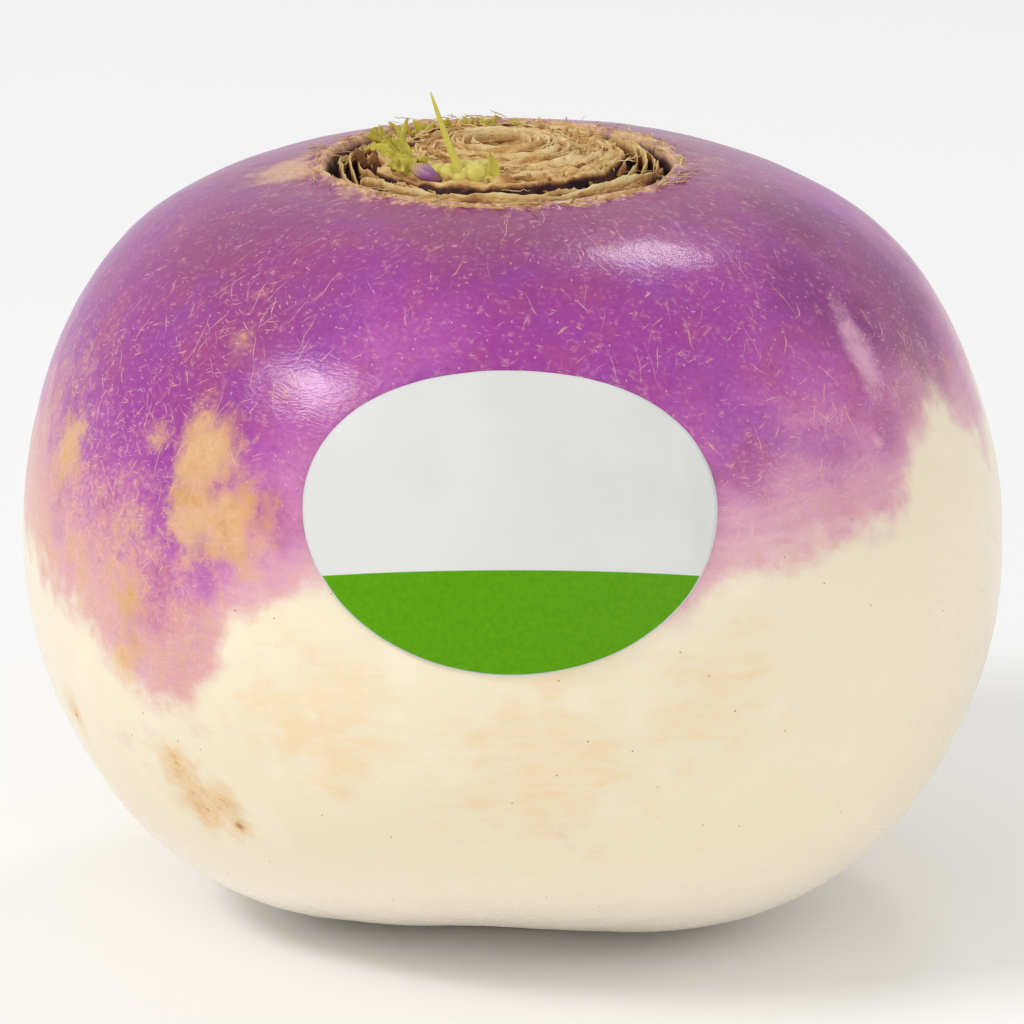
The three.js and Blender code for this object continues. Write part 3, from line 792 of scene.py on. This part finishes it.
class Paint:
    """A material being made. Its coordinates are millimetres."""

    def __init__(self, name):
        self.material = bpy.data.materials.new(name)
        self.material.use_nodes = True
        self.tree = self.material.node_tree
        self.shader = self.tree.nodes["Principled BSDF"]
        place = self.node("ShaderNodeTexCoord").outputs["Object"]
        self.place = self.vector("SCALE", Field(self, place), scale=1 / MM)
        self.x, self.y, self.z = self.parts(self.place)

    def node(self, kind, **settings):
        made = self.tree.nodes.new(kind)
        for name, value in settings.items():
            setattr(made, name, value)
        return made

    def put(self, value, socket):
        if isinstance(value, Field):
            self.tree.links.new(value.socket, socket)
        else:
            socket.default_value = value

    def fill(self, made, **values):
        """Puts values into a node's named inputs."""
        for name, value in values.items():
            self.put(value, made.inputs[name.replace("_", " ")])

    def math(self, operation, *values):
        made = self.node("ShaderNodeMath", operation=operation)
        for value, socket in zip(values, made.inputs):
            self.put(value, socket)
        return Field(self, made.outputs[0])

    def vector(self, operation, *values, scale=None):
        made = self.node("ShaderNodeVectorMath", operation=operation)
        for value, socket in zip(values, made.inputs):
            self.put(value, socket)
        if scale is not None:
            self.put(scale, made.inputs["Scale"])
        return Field(self, made.outputs["Value" if operation in ("LENGTH", "DISTANCE") else "Vector"])

    def parts(self, vector):
        made = self.node("ShaderNodeSeparateXYZ")
        self.put(vector, made.inputs[0])
        return [Field(self, output) for output in made.outputs]

    def attribute(self, name):
        return Field(self, self.node("ShaderNodeAttribute", attribute_name=name).outputs["Fac"])

    def smooth(self, value, low, high):
        """0 where the value is under low, 1 where it is over high, and smooth between."""
        made = self.node("ShaderNodeMapRange", interpolation_type="SMOOTHSTEP")
        self.fill(made, Value=value, From_Min=low, From_Max=high)
        return Field(self, made.outputs["Result"])

    def noise(self, size, detail=3.0, roughness=0.5, place=None, shift=0.0, flat=False):
        """Noise from about -1 to 1, with lumps size millimetres across. Flat noise reads X and Y alone."""
        where = self.vector("ADD", place or self.place, (shift, -2.3 * shift, 1.7 * shift))
        made = self.node("ShaderNodeTexNoise", noise_dimensions="2D" if flat else "3D")
        self.fill(made, Vector=where, Scale=1 / size, Detail=detail, Roughness=roughness)
        return Field(self, made.outputs[0]) * 4 - 2

    def joined(self, x, y):
        """A flat coordinate from two values."""
        made = self.node("ShaderNodeCombineXYZ")
        self.fill(made, X=x, Y=y)
        return Field(self, made.outputs[0])

    def scaled(self, place, sizes):
        """Coordinates in which sizes millimetres are one unit."""
        return self.vector("DIVIDE", place, sizes)

    def cells(self, place, size=1.0):
        """Flat Voronoi cells: the distance to a cell's point, and two random values for each cell."""
        made = self.node("ShaderNodeTexVoronoi", voronoi_dimensions="2D")
        self.fill(made, Vector=place, Scale=1 / size)
        chance, strength, _ = self.parts(Field(self, made.outputs["Color"]))
        return Field(self, made.outputs["Distance"]), chance, strength

    def dots(self, place, size, radius):
        """Round dots, one in each cell of a size, and a random value for each dot."""
        away, chance, _ = self.cells(place, size)
        return 1 - self.smooth(away, radius * 0.5, radius), chance

    def strokes(self, place, turn, spacing, length, density, shift):
        """Tapered strokes on flat coordinates. density, from 0 to 1, says what share of them is drawn."""
        made = self.node("ShaderNodeMapping", vector_type="TEXTURE")
        self.fill(
            made, Vector=place, Location=(shift, -shift, 0), Rotation=(0, 0, math.radians(turn)),
            Scale=(spacing, length, 1),
        )
        away, chance, strength = self.cells(Field(self, made.outputs[0]))
        drawn = self.smooth(density - chance, 0.0, 0.08)
        return (1 - self.smooth(away, 0.03, 0.17)) * drawn * (strength * 0.7 + 0.3)

    def mix(self, share, first, second):
        made = self.node("ShaderNodeMix", data_type="RGBA")
        for value, index in ((share, 0), (first, 6), (second, 7)):
            self.put(value, made.inputs[index])
        return Field(self, made.outputs[2])

    def coats(self, base, *coats):
        """A colour under coats, each a share of the surface and a screen colour."""
        for share, tone in coats:
            base = self.mix(share, base, colour(*tone))
        return base

    def ramp(self, value, *stops):
        """A colour for a value from 0 to 1, from stops of a value and a screen colour."""
        made = self.node("ShaderNodeValToRGB")
        elements = made.color_ramp.elements
        while len(elements) < len(stops):
            elements.new(0.5)
        for element, (at, *tone) in zip(elements, stops):
            element.position = at
            element.color = colour(*tone)
        self.put(value, made.inputs[0])
        return Field(self, made.outputs["Color"])

    def surface(self, **values):
        self.fill(self.shader, **values)

    def relief(self, height):
        """Bump by a height in millimetres."""
        made = self.node("ShaderNodeBump")
        self.fill(made, Height=height, Distance=MM)
        self.tree.links.new(made.outputs[0], self.shader.inputs["Normal"])


# Where the purple ends, all round the root: degrees from the front, to the right, and height in millimetres
PURPLE_EDGE = (
    (-180, 38), (-162, 31), (-140, 41), (-120, 44), (-100, 39), (-85, 36), (-76, 34.5), (-64, 33.2), (-57, 31),
    (-50, 27.6), (-41, 26.2), (-37, 29.5), (-33, 34.8), (-28, 39), (-24, 41), (-15, 39), (0, 38), (15, 38.5),
    (24, 38.8), (31, 40.2), (40, 42.7), (50, 43), (54, 45), (57, 47), (60.5, 47.7), (63, 49.8), (67, 50),
    (70, 48), (73, 46.6), (78, 43.6), (85, 48), (92, 51), (105, 44), (120, 35), (140, 42), (160, 46), (180, 38),
)

# Faint pink stains on the pale skin: place and radius
PINK_STAINS = (
    (-35.0, -25.5, 22.8, 4.2), (-32.5, -29.0, 24.6, 2.6), (-27.6, -34.0, 26.0, 3.0), (5.1, -39.7, 17.5, 4.0),
    (-17.0, -40.5, 34.0, 4.0), (18.0, 38.0, 27.0, 5.0),
)

# Brown scars on the pale skin: place, and the radius of the core and of the stain round it
BROWN_SCARS = (
    (-24.4, -31.4, 15.9, 0.28, 3.0), (-27.3, -29.4, 16.6, 0.12, 5.0), (-28.7, -29.8, 18.5, 0.08, 6.0),
    (-30.0, -30.2, 21.3, 0.06, 3.8), (-26.4, -31.8, 18.7, 0.06, 4.6), (-39.6, -16.8, 22.0, 0.16, 4.0),
    (28.6, 27.0, 13.0, 0.5, 3.0), (31.0, 29.5, 20.0, 0.4, 2.4), (-33.0, 24.0, 30.0, 0.3, 3.0),
)

# Tan patches where the skin is rubbed: place, radius and strength, as in all the lists after it
TAN_PATCHES = (
    (-26.6, -32.6, 50.3, 3.9, 1.0), (-27.0, -31.2, 53.2, 2.4, 0.6), (-24.6, -35.9, 45.6, 4.3, 1.0),
    (-27.6, -33.4, 45.4, 3.6, 0.9), (-31.2, -28.0, 51.0, 2.0, 0.6), (-31.5, -26.5, 57.5, 1.6, 0.6),
    (-40.2, -17.6, 47.5, 3.4, 0.75), (-33.9, -29.5, 37.0, 2.6, 0.8), (-34.4, -28.8, 31.4, 2.8, 0.85),
    (-34.0, -28.0, 43.0, 2.2, 0.6), (-24.0, -28.3, 59.8, 1.9, 0.5), (-23.0, -25.5, 64.0, 1.8, 0.4),
    (-39.0, -21.5, 38.0, 2.0, 0.6), (-37.5, -22.5, 53.0, 1.8, 0.4), (39.4, -11.2, 52.6, 1.5, 0.5),
    (20.0, 38.0, 50.0, 5.0, 0.9), (27.0, 33.0, 45.0, 3.2, 0.8), (-31.0, 30.0, 46.0, 3.8, 0.8),
    (42.5, 14.0, 44.0, 2.8, 0.7), (23.5, -31.7, 55.9, 1.5, 0.3),
)
HAZE = (
    (-44, -8, 38, 20, 1.0), (-38, -26, 38, 13, 0.7), (-30, -34, 33, 11, 0.7), (-20, -40, 36, 9, 0.55),
    (28, -38, 40, 9, 0.3), (-41, -14, 54, 9, 0.5), (-34, -28, 42, 10, 0.55),
)
WORN = (
    (-38, -25, 44, 22, 1.0), (-24, -27, 62, 9, 0.75), (-30, -34, 34, 12, 0.9), (26, -36, 46, 15, 0.85),
    (37, -18, 54, 9, 0.8), (39, -16, 52, 8, 0.7), (0, 43, 46, 30, 0.6), (10, -30, 64, 22, 0.2),
    (-20, -30, 62, 16, 0.22),
)
DUST = (
    (-19.4, -1.5, 69.2, 6.8, 1.0), (-14.5, -11.5, 69.4, 3.0, 0.6), (17.5, 1.5, 69.6, 4.2, 0.42),
    (3, 19, 69, 5, 0.7),
)
DUSKY = ((-27, -14, 65.5, 11, 0.5), (-20, -28, 64, 8, 0.3))
# Paler purple: two faded places, and above the label painted light that widens the left highlight's glow.
FADED_AND_PAINTED_LIGHT = ((23, -37, 46, 15, 0.35), (-33, -29, 42, 14, 0.7), (-8, -32, 63, 9, 1.3))
# Painted shade: darker purple on the shoulders, standing in for the dimmer light there.
PAINTED_SHOULDER_SHADE = (
    (34, -14, 60, 13, 0.8), (26, -11, 66, 10, 0.9), (28, -20, 62.5, 10, 0.7), (16, -14, 68.5, 8, 0.4),
    (0, -22, 67.5, 13, 0.5), (20, 25, 64, 12, 0.6), (-23, -15, 66, 9, 0.35), (37, -19, 56, 7, 0.4),
)
STREAK = (
    (28.6, -19.6, 62.0, 1.6, 0.3), (29.4, -21.0, 60.4, 2.1, 0.6), (30.2, -22.0, 59.0, 2.5, 0.95),
    (30.9, -22.7, 57.5, 2.7, 1.0), (31.5, -23.4, 56.0, 2.5, 0.85), (32.0, -24.3, 54.6, 2.0, 0.5),
    (32.4, -26.8, 50.4, 0.9, 0.8), (33.3, -25.7, 50.9, 0.8, 0.7), (31.6, -27.6, 49.9, 0.7, 0.6),
)
PEACH = ((-17, -41, 29, 10, 0.9), (3, -43.5, 26, 13, 0.8), (17, -42, 31, 9, 0.7), (-20, 38, 26, 12, 0.7))


def blobs(points, spots, unevenness):
    """The strongest of some soft blobs at each point."""
    total = np.zeros(len(points))
    for *place, radius, strength in spots:
        away = how_far(points, place, radius) + unevenness
        total = np.maximum(total, strength * (1 - smoothstep(away, 0.15, 1.15)))
    return total


def skin_masks(points):
    """The larger marks of the skin at each of its points, which the material turns into colours."""
    degrees = np.degrees(np.arctan2(points[:, 0], -points[:, 1]))
    edge = np.interp(degrees, *np.transpose(PURPLE_EDGE))
    broad = lumps(points, 9, 2, 3.0)
    medium = lumps(points, 3.4, 3, 11.0)
    small = lumps(points, 1.7, 2, 17.0)
    over_edge = points[:, 2] - edge + 1.6 * broad
    above = over_edge + 1.7 * medium + 0.6 * small
    for *place, radius in PINK_STAINS:
        away = how_far(points, place, radius) + 0.5 * medium
        above = np.maximum(above, 2.6 * (1 - smoothstep(away, 0.0, 1.0)) - 2.2)

    patch = np.zeros(len(points))
    upright = np.array([1, 1, 0.85])
    for *place, radius, strength in TAN_PATCHES:
        away = how_far(points * upright, place * upright, radius) + 0.42 * medium + 0.3 * small
        patch = np.maximum(patch, strength * (1 - smoothstep(away, 0.0, 1.75)))

    core = np.full(len(points), 9.0)
    stain = np.zeros(len(points))
    for *place, core_radius, stain_radius in BROWN_SCARS:
        middle = points[np.argmin(how_far(points, place))]
        away = how_far(points, middle)
        core = np.minimum(core, away / core_radius)
        stain = np.maximum(stain, 1 - smoothstep(away / stain_radius + 0.35 * small + 0.25 * medium, 0.0, 1.1))

    from_crown, _ = seen_from_crown(points[:, 0], points[:, 1])
    upper = smoothstep(points[:, 2], RIM_Z - 14, RIM_Z - 6)
    haze = blobs(points, HAZE, 0.25 * medium)
    by_crown = upper * (1 - smoothstep(from_crown + 2.2 * broad + 2 * medium, 16.5, 30))
    return {
        "above": above,
        "patch": patch,
        "core": core,
        "stain": stain,
        "haze": haze,
        "worn": blobs(points, WORN, 0.3 * medium),
        "dust": blobs(points, DUST, 0.5 * medium + 0.2 * small),
        "shoulder": blobs(points, PAINTED_SHOULDER_SHADE, 0.3 * medium),
        "dusk": np.maximum(by_crown, blobs(points, DUSKY, 0.3 * medium)),
        # Lowered, so paler, where the skin is faded, and above the label by painted light.
        "shade": (over_edge + 0.9 * medium - 4.4 * blobs(points, FADED_AND_PAINTED_LIGHT, 0.25 * medium)) / 36,
        "cork": upper * (1 - smoothstep(from_crown + 0.7 * small + 0.5 * medium, 15.9, 18.2)),
        "inside": upper * (1 - smoothstep(from_crown, 15.5, 16.0)),
        "peach": blobs(points, PEACH, 0.5 * medium),
        "streak": blobs(points, STREAK, 0.12 * small),
        "violet": lumps(points, 6.5, 2, 23.0) - 0.9 * haze,
        "rosy": lumps(points, 5.0, 3, 37.0),
        "bend_x": 0.6 * lumps(points, 2.3, 1, 43.0),
        "bend_z": 0.6 * lumps(points, 2.3, 1, 47.0),
    }


# Scratches in the skin: turn from upright in degrees, spacing, length, share of the full density, least share
SCRATCHES = (
    (4, 0.5, 11, 0.66, 0.01), (-34, 0.44, 8.5, 0.62, 0.02), (47, 0.44, 8, 0.62, 0.03), (-66, 0.34, 5, 0.75, 0.07),
    (82, 0.28, 2.6, 0.75, 0.09),
)
SCRATCH_SHIFT = 37


def skin_material():
    paint = Paint("turnip_skin")
    smooth = paint.smooth
    above, shade, violet, rosy, shoulder, dusk, haze, worn, streak = map(
        paint.attribute, ("above", "shade", "violet", "rosy", "shoulder", "dusk", "haze", "worn", "streak")
    )
    peach, patch, stain, core, dust, cork, inside, bend_x, bend_z = map(
        paint.attribute, ("peach", "patch", "stain", "core", "dust", "cork", "inside", "bend_x", "bend_z")
    )
    fine = paint.noise(1.5, 3, 0.62, shift=11)
    mottle = paint.noise(0.5, 2, 0.6, shift=5)
    grain = mottle + fine * 0.6

    # The skin laid flat: millimetres round the root and up it
    plane = paint.joined(paint.math("ARCTAN2", paint.x, 0 - paint.y) * BODY_RADIUS, paint.z)
    bent = paint.vector("ADD", plane, paint.joined(bend_x, bend_z))
    strokes = paint.noise(1, 2, 0.6, place=paint.scaled(bent, (5.5, 0.9, 1)), flat=True)
    wrinkles = paint.noise(1, 1, 0.6, place=paint.scaled(bent, (0.85, 0.24, 1)), flat=True)

    # Purple, palest by its lower edge, with a hazy left side, a pale streak on the right shoulder and painted shade
    # on the shoulders
    deep = smooth(shade, 0.0, 0.3)
    shades = paint.coats(
        paint.ramp(
            shade + strokes * 0.03 + fine * 0.02, (0.0, 228, 188, 186), (0.08, 220, 164, 180),
            (0.22, 203, 126, 173), (0.4, 180, 88, 166), (0.6, 157, 56, 148), (0.9, 150, 54, 132),
        ),
        (smooth(violet, -0.1, 0.6) * 0.42 * deep, (142, 60, 160)),
        (smooth(rosy, 0.0, 0.6) * 0.4 * deep, (168, 70, 116)),
        # Painted shade: darker purple over the shoulders.
        (shoulder * 0.85, (112, 14, 88)),
        (dusk * 0.7, (146, 72, 100)),
        (smooth(grain, 0.0, 1.6) * 0.45, (212, 150, 166)),
        (smooth(grain * -1, 0.0, 1.6) * 0.42 * deep, (124, 36, 118)),
        (smooth(haze + fine * 0.3 + mottle * 0.16, 0.1, 1.1) * 0.64, (222, 168, 120)),
        (smooth(worn + grain * 0.45, 0.9, 1.9) * 0.35, (232, 186, 164)),
        (smooth(streak + fine * 0.18 + mottle * 0.08, 0.1, 1.1) * 0.66, (232, 184, 198)),
    )

    # Cream, with warm strokes that lie across it, and painted light that makes it palest underneath
    cream = paint.coats(
        colour(239, 227, 199),
        (smooth(strokes * 0.5 + fine * 0.4 + peach * 1.7, 0.0, 2.5), (240, 213, 168)),
        (smooth(fine + strokes * 0.5, 0.7, 2.0) * 0.3, (238, 204, 160)),
        (smooth(rosy, 0.1, 0.7) * 0.35, (247, 234, 212)),
        # Painted light: the lowest 17 mm are lifted towards white, standing in for light from below.
        ((1 - smooth(paint.z, 1, 17)) * 0.9, (254, 247, 232)),
    )
    skin = paint.mix(smooth(above + fine * 0.7, -1.0, 3.2), cream, shades)

    # Rubbed tan patches
    rubbed = smooth(patch + fine * 0.16 + mottle * 0.1, 0.14, 0.95)
    worn_through = smooth(fine + mottle * 0.6 + rosy, -1.2, 1.6)
    skin = paint.mix(rubbed * 0.88, skin, paint.mix(worn_through, colour(228, 184, 126), colour(208, 154, 84)))

    # Scratches
    scratches = 0
    for index, (turn, spacing, length, density, least) in enumerate(SCRATCHES):
        drawn = paint.strokes(bent, turn, spacing, length, worn * density + least, SCRATCH_SHIFT * index)
        scratches = paint.math("MAXIMUM", scratches, drawn)
    on_purple = scratches * smooth(above, -1.0, 2.0)
    scratch_shade = paint.mix(smooth(fine, -0.8, 0.8), colour(234, 190, 182), colour(226, 176, 140))
    skin = paint.mix(on_purple * smooth(grain, -1.6, 0.4) * 0.85, skin, scratch_shade)

    # Pale specks all over the purple, a few dark ones, and brown scars in a stain
    speck, chance = paint.dots(plane, 1.25, 0.085)
    stained = smooth(stain + fine * 0.16 + mottle * 0.1, 0.1, 1.2)
    skin = paint.coats(
        skin,
        (speck * smooth(chance, 0.78, 0.8) * smooth(above, 0.0, 4.0) * 0.5, (236, 196, 190)),
        (speck * (1 - smooth(chance, 0.012, 0.014)) * 0.7, (120, 78, 44)),
        (stained * 0.68, (228, 178, 104)),
        (smooth(stained + mottle * 0.3 + fine * 0.16, 0.7, 1.5) * 0.45, (206, 136, 64)),
        ((1 - smooth(core + mottle * 0.25, 0.4, 2.4)) * 0.7, (140, 82, 44)),
    )

    # Dusty tan beside the crown, cork at its edge, and inside the dish a dark colour that is partly painted shade
    dusty = smooth(dust + fine * 0.22 + mottle * 0.12, 0.08, 1.1)
    dust_shade = paint.mix(smooth(mottle, -1, 1), colour(210, 164, 132), colour(226, 192, 150))
    skin = paint.mix(dusty * 0.75, skin, dust_shade)
    corky = smooth(cork + fine * 0.3 + mottle * 0.25, 0.3, 1.2)
    cork_shade = paint.ramp(
        fine * 0.2 + mottle * 0.14 + 0.5,
        (0.1, 120, 76, 58), (0.38, 196, 150, 112), (0.62, 222, 184, 142), (0.9, 236, 212, 172),
    )
    skin = paint.mix(corky, skin, cork_shade)
    # Painted shade over the dish's own dark colour: darker the deeper below the rim.
    depth = 1 - smooth(paint.z + fine * 0.1, RIM_Z - 1.2, RIM_Z - 0.45)
    skin = paint.mix(inside * depth, skin, colour(66, 40, 44))

    # The taproot's cut end: woody rings inside a brown edge
    from_root = paint.vector("LENGTH", paint.vector("MULTIPLY", paint.place, (1, 1, 0))) + fine * 0.2
    rings = paint.math("SINE", from_root * 3.4)
    wood = paint.coats(
        colour(232, 216, 180),
        (rings * 0.25 + 0.4, (206, 172, 118)),
        (smooth(from_root, 7.5, 10.5), (176, 128, 76)),
    )
    skin = paint.mix(1 - smooth(paint.z, 0.25, 0.6), skin, wood)

    paint.relief(wrinkles * 0.0045 * smooth(above, 0.0, 6.0))
    gloss = 0.22 + smooth(mottle, -0.5, 1.5) * 0.08 + rubbed * 0.14 + corky * 0.4 + on_purple * 0.1 + dusty * 0.2
    paint.surface(Base_Color=skin, Roughness=gloss, Specular_IOR_Level=0.43)
    return paint.material


def dry_leaf_material():
    paint = Paint("dry_leaf_base")
    tint = paint.attribute("tint")
    fibres = paint.noise(0.5, 4, 0.7, shift=3)
    broad = paint.noise(2.4, 3, shift=9)
    # Fine lines that follow the rings of the crown
    x = paint.x - CROWN_X
    y = paint.y - (CROWN_Y + PIT_SHIFT / 2)
    from_middle = paint.math("SQRT", x * x + y * y)
    ring_place = paint.joined(from_middle * 2.6, paint.math("ARCTAN2", x, y) * 3.2)
    rings = paint.noise(1, 3, 0.65, place=ring_place, flat=True)
    # Green where a bud is about to break, mostly round the pit and at the right
    green = paint.smooth(paint.noise(1.3, 2, shift=27) + broad * 0.3, 0.5, 1.2) * paint.smooth(tint, 0.25, 0.6)
    from_pit = paint.vector("DISTANCE", paint.place, (CROWN_X, CROWN_Y + PIT_SHIFT, RIM_Z - 0.6))
    pit = 1 - paint.smooth(from_pit, 1.44, 3.6)
    brown = paint.smooth(paint.noise(0.9, 3, 0.7, shift=41), 0.35, 1.2)
    # The darkest end of the ramp mostly shows painted shade, from the low tints at the feet of the leaf walls, on
    # the disc's outer wall and in the pit.
    shades = paint.coats(
        paint.ramp(
            tint * 0.82 + fibres * 0.08 + broad * 0.12 + rings * 0.12 * paint.smooth(tint, 0.1, 0.5),
            (0.0, 42, 20, 26), (0.16, 84, 48, 42), (0.34, 152, 102, 58), (0.5, 196, 150, 90),
            (0.68, 222, 188, 126), (0.9, 238, 216, 164),
        ),
        (pit * 0.45, (176, 130, 62)),
        (paint.math("MINIMUM", green * (0.5 + pit), 1) * 0.75, (164, 150, 62)),
        (brown * 0.6, (164, 104, 54)),
    )
    paint.relief(fibres * 0.05)
    paint.surface(Base_Color=shades, Roughness=0.78, Specular_IOR_Level=0.3)
    return paint.material


def sprout_material():
    paint = Paint("sprout")
    shades = paint.ramp(
        paint.attribute("tint") + paint.noise(0.6, 3, shift=2) * 0.07,
        (0.0, 218, 204, 136), (0.25, 208, 192, 96), (0.5, 204, 192, 78), (0.75, 186, 172, 52), (1.0, 158, 140, 28),
    )
    paint.relief(paint.noise(0.3, 3, shift=8) * 0.012)
    paint.surface(
        Base_Color=shades, Roughness=0.42, Subsurface_Weight=0.3, Subsurface_Scale=0.0009,
        Subsurface_Radius=(0.8, 1.0, 0.25),
    )
    return paint.material


def bud_material():
    paint = Paint("bud")
    mottle = paint.noise(0.5, 3, shift=6)
    shades = paint.ramp(
        paint.attribute("tint") + mottle * 0.1,
        (0.0, 190, 160, 90), (0.3, 184, 138, 120), (0.55, 152, 94, 140), (0.8, 136, 76, 124), (1.0, 122, 62, 72),
    )
    paint.relief(mottle * 0.01)
    paint.surface(Base_Color=shades, Roughness=0.38, Subsurface_Weight=0.2, Subsurface_Scale=0.0008)
    return paint.material


def label_material():
    """A plain label: a pale field over a green band, inside a thin white rim."""
    paint = Paint("label_paper")
    across = paint.attribute("across")
    up = paint.attribute("up")
    film = paint.noise(7, 2, shift=1)
    field = paint.mix(paint.smooth(film, -1.2, 1.2), colour(214, 214, 212), colour(220, 220, 218))
    grain = paint.noise(0.5, 3, 0.6, shift=15)
    green = paint.mix(paint.smooth(grain, -1.5, 1.5), colour(80, 146, 0), colour(95, 161, 0))
    sag = across * across * LABEL_BAND_SAG
    band = 1 - paint.smooth(up - sag, LABEL_BAND_TOP - 0.05, LABEL_BAND_TOP + 0.05)
    share = paint.math("SQRT", across * across * (4 / LABEL_WIDTH**2) + up * up * (4 / LABEL_HEIGHT**2))
    rim = paint.smooth((1 - share) * (LABEL_HEIGHT / 2), LABEL_RIM - 0.06, LABEL_RIM + 0.06)
    paint.relief(paint.noise(2.6, 2, shift=33) * 0.012 + grain * 0.0015)
    paint.surface(
        Base_Color=paint.mix(band * rim, field, green), Roughness=0.4 + film * 0.03, Specular_IOR_Level=0.12,
    )
    return paint.material


# Stage, lights and camera

AIM = Vector((0, 0, 36.45)) * MM
CAMERA_ELEVATION = math.radians(15.5)
CAMERA_DISTANCE = 0.75
CAMERA_LENS = 286
FLOOR_REACH = 3.0
WORLD_LIGHT = 0.72

# Softboxes: name, direction from the root, distance, width and height in metres, and power in watts
SOFTBOXES = (
    ("left_softbox", (-0.64, -0.335, 0.67), 0.9, 0.3, 0.17, 2.9),
    ("rear_softbox", (0.24, 0.55, 0.8), 1.0, 0.22, 0.05, 0.8),
    ("front_softbox", (0.75, -1.0, 0.14), 1.7, 1.8, 0.6, 4.6),
)


def add_stage():
    mesh = bpy.data.meshes.new("floor")
    corners = [(FLOOR_REACH * x, FLOOR_REACH * y, 0) for x, y in ((-1, -1), (1, -1), (1, 1), (-1, 1))]
    mesh.from_pydata(corners, [], [(0, 1, 2, 3)])
    paint = Paint("floor_paint")
    paint.surface(Base_Color=(0.94, 0.94, 0.94, 1), Roughness=0.7)
    mesh.materials.append(paint.material)
    floor = bpy.data.objects.new("floor", mesh)
    bpy.context.scene.collection.objects.link(floor)


def add_softbox(name, toward, distance, width, height, power):
    lamp = bpy.data.lights.new(name, "AREA")
    lamp.shape = "RECTANGLE"
    lamp.size = width
    lamp.size_y = height
    lamp.energy = power
    softbox = bpy.data.objects.new(name, lamp)
    toward = Vector(toward).normalized()
    softbox.location = AIM + toward * distance
    softbox.rotation_euler = toward.to_track_quat("Z", "Y").to_euler()
    bpy.context.scene.collection.objects.link(softbox)


def add_lights():
    world = bpy.data.worlds.new("studio")
    world.use_nodes = True
    background = world.node_tree.nodes["Background"]
    background.inputs["Color"].default_value = (1, 1, 1, 1)
    background.inputs["Strength"].default_value = WORLD_LIGHT
    bpy.context.scene.world = world
    for softbox in SOFTBOXES:
        add_softbox(*softbox)


def add_camera():
    lens = bpy.data.cameras.new("camera")
    lens.lens = CAMERA_LENS
    lens.sensor_width = 36
    lens.clip_start = 0.01
    camera = bpy.data.objects.new("camera", lens)
    back = Vector((0, -math.cos(CAMERA_ELEVATION), math.sin(CAMERA_ELEVATION)))
    camera.location = AIM + back * CAMERA_DISTANCE
    camera.rotation_euler = back.to_track_quat("Z", "Y").to_euler()
    bpy.context.scene.collection.objects.link(camera)
    bpy.context.scene.camera = camera


bpy.context.scene.view_settings.view_transform = "Standard"
add_stage()
add_lights()
add_camera()
dry_leaf = dry_leaf_material()
sprout = sprout_material()
root = root_heap()
make_piece("turnip_root", root, skin_material(), "turnip_skin", "root", attributes=skin_masks(root.all_points()))
make_piece("leaf_bases", leaf_bases_heap(), dry_leaf, "dry_leaf_base", "leaf_base_crown")
make_piece("torn_skin_edge", torn_edge_heap(), dry_leaf, "dry_leaf_base")
make_piece("spike_sprout", front_sprout_heap(), sprout, "sprout", "front_sprout")
make_piece("forked_sprout", side_sprout_heap(), sprout, "sprout", "side_sprout")
make_piece("young_tips", young_tips_heap(), sprout, "sprout")
make_piece("scaly_bud", bud_heap(), bud_material(), "bud", "purple_bud")
label_piece(label_material())
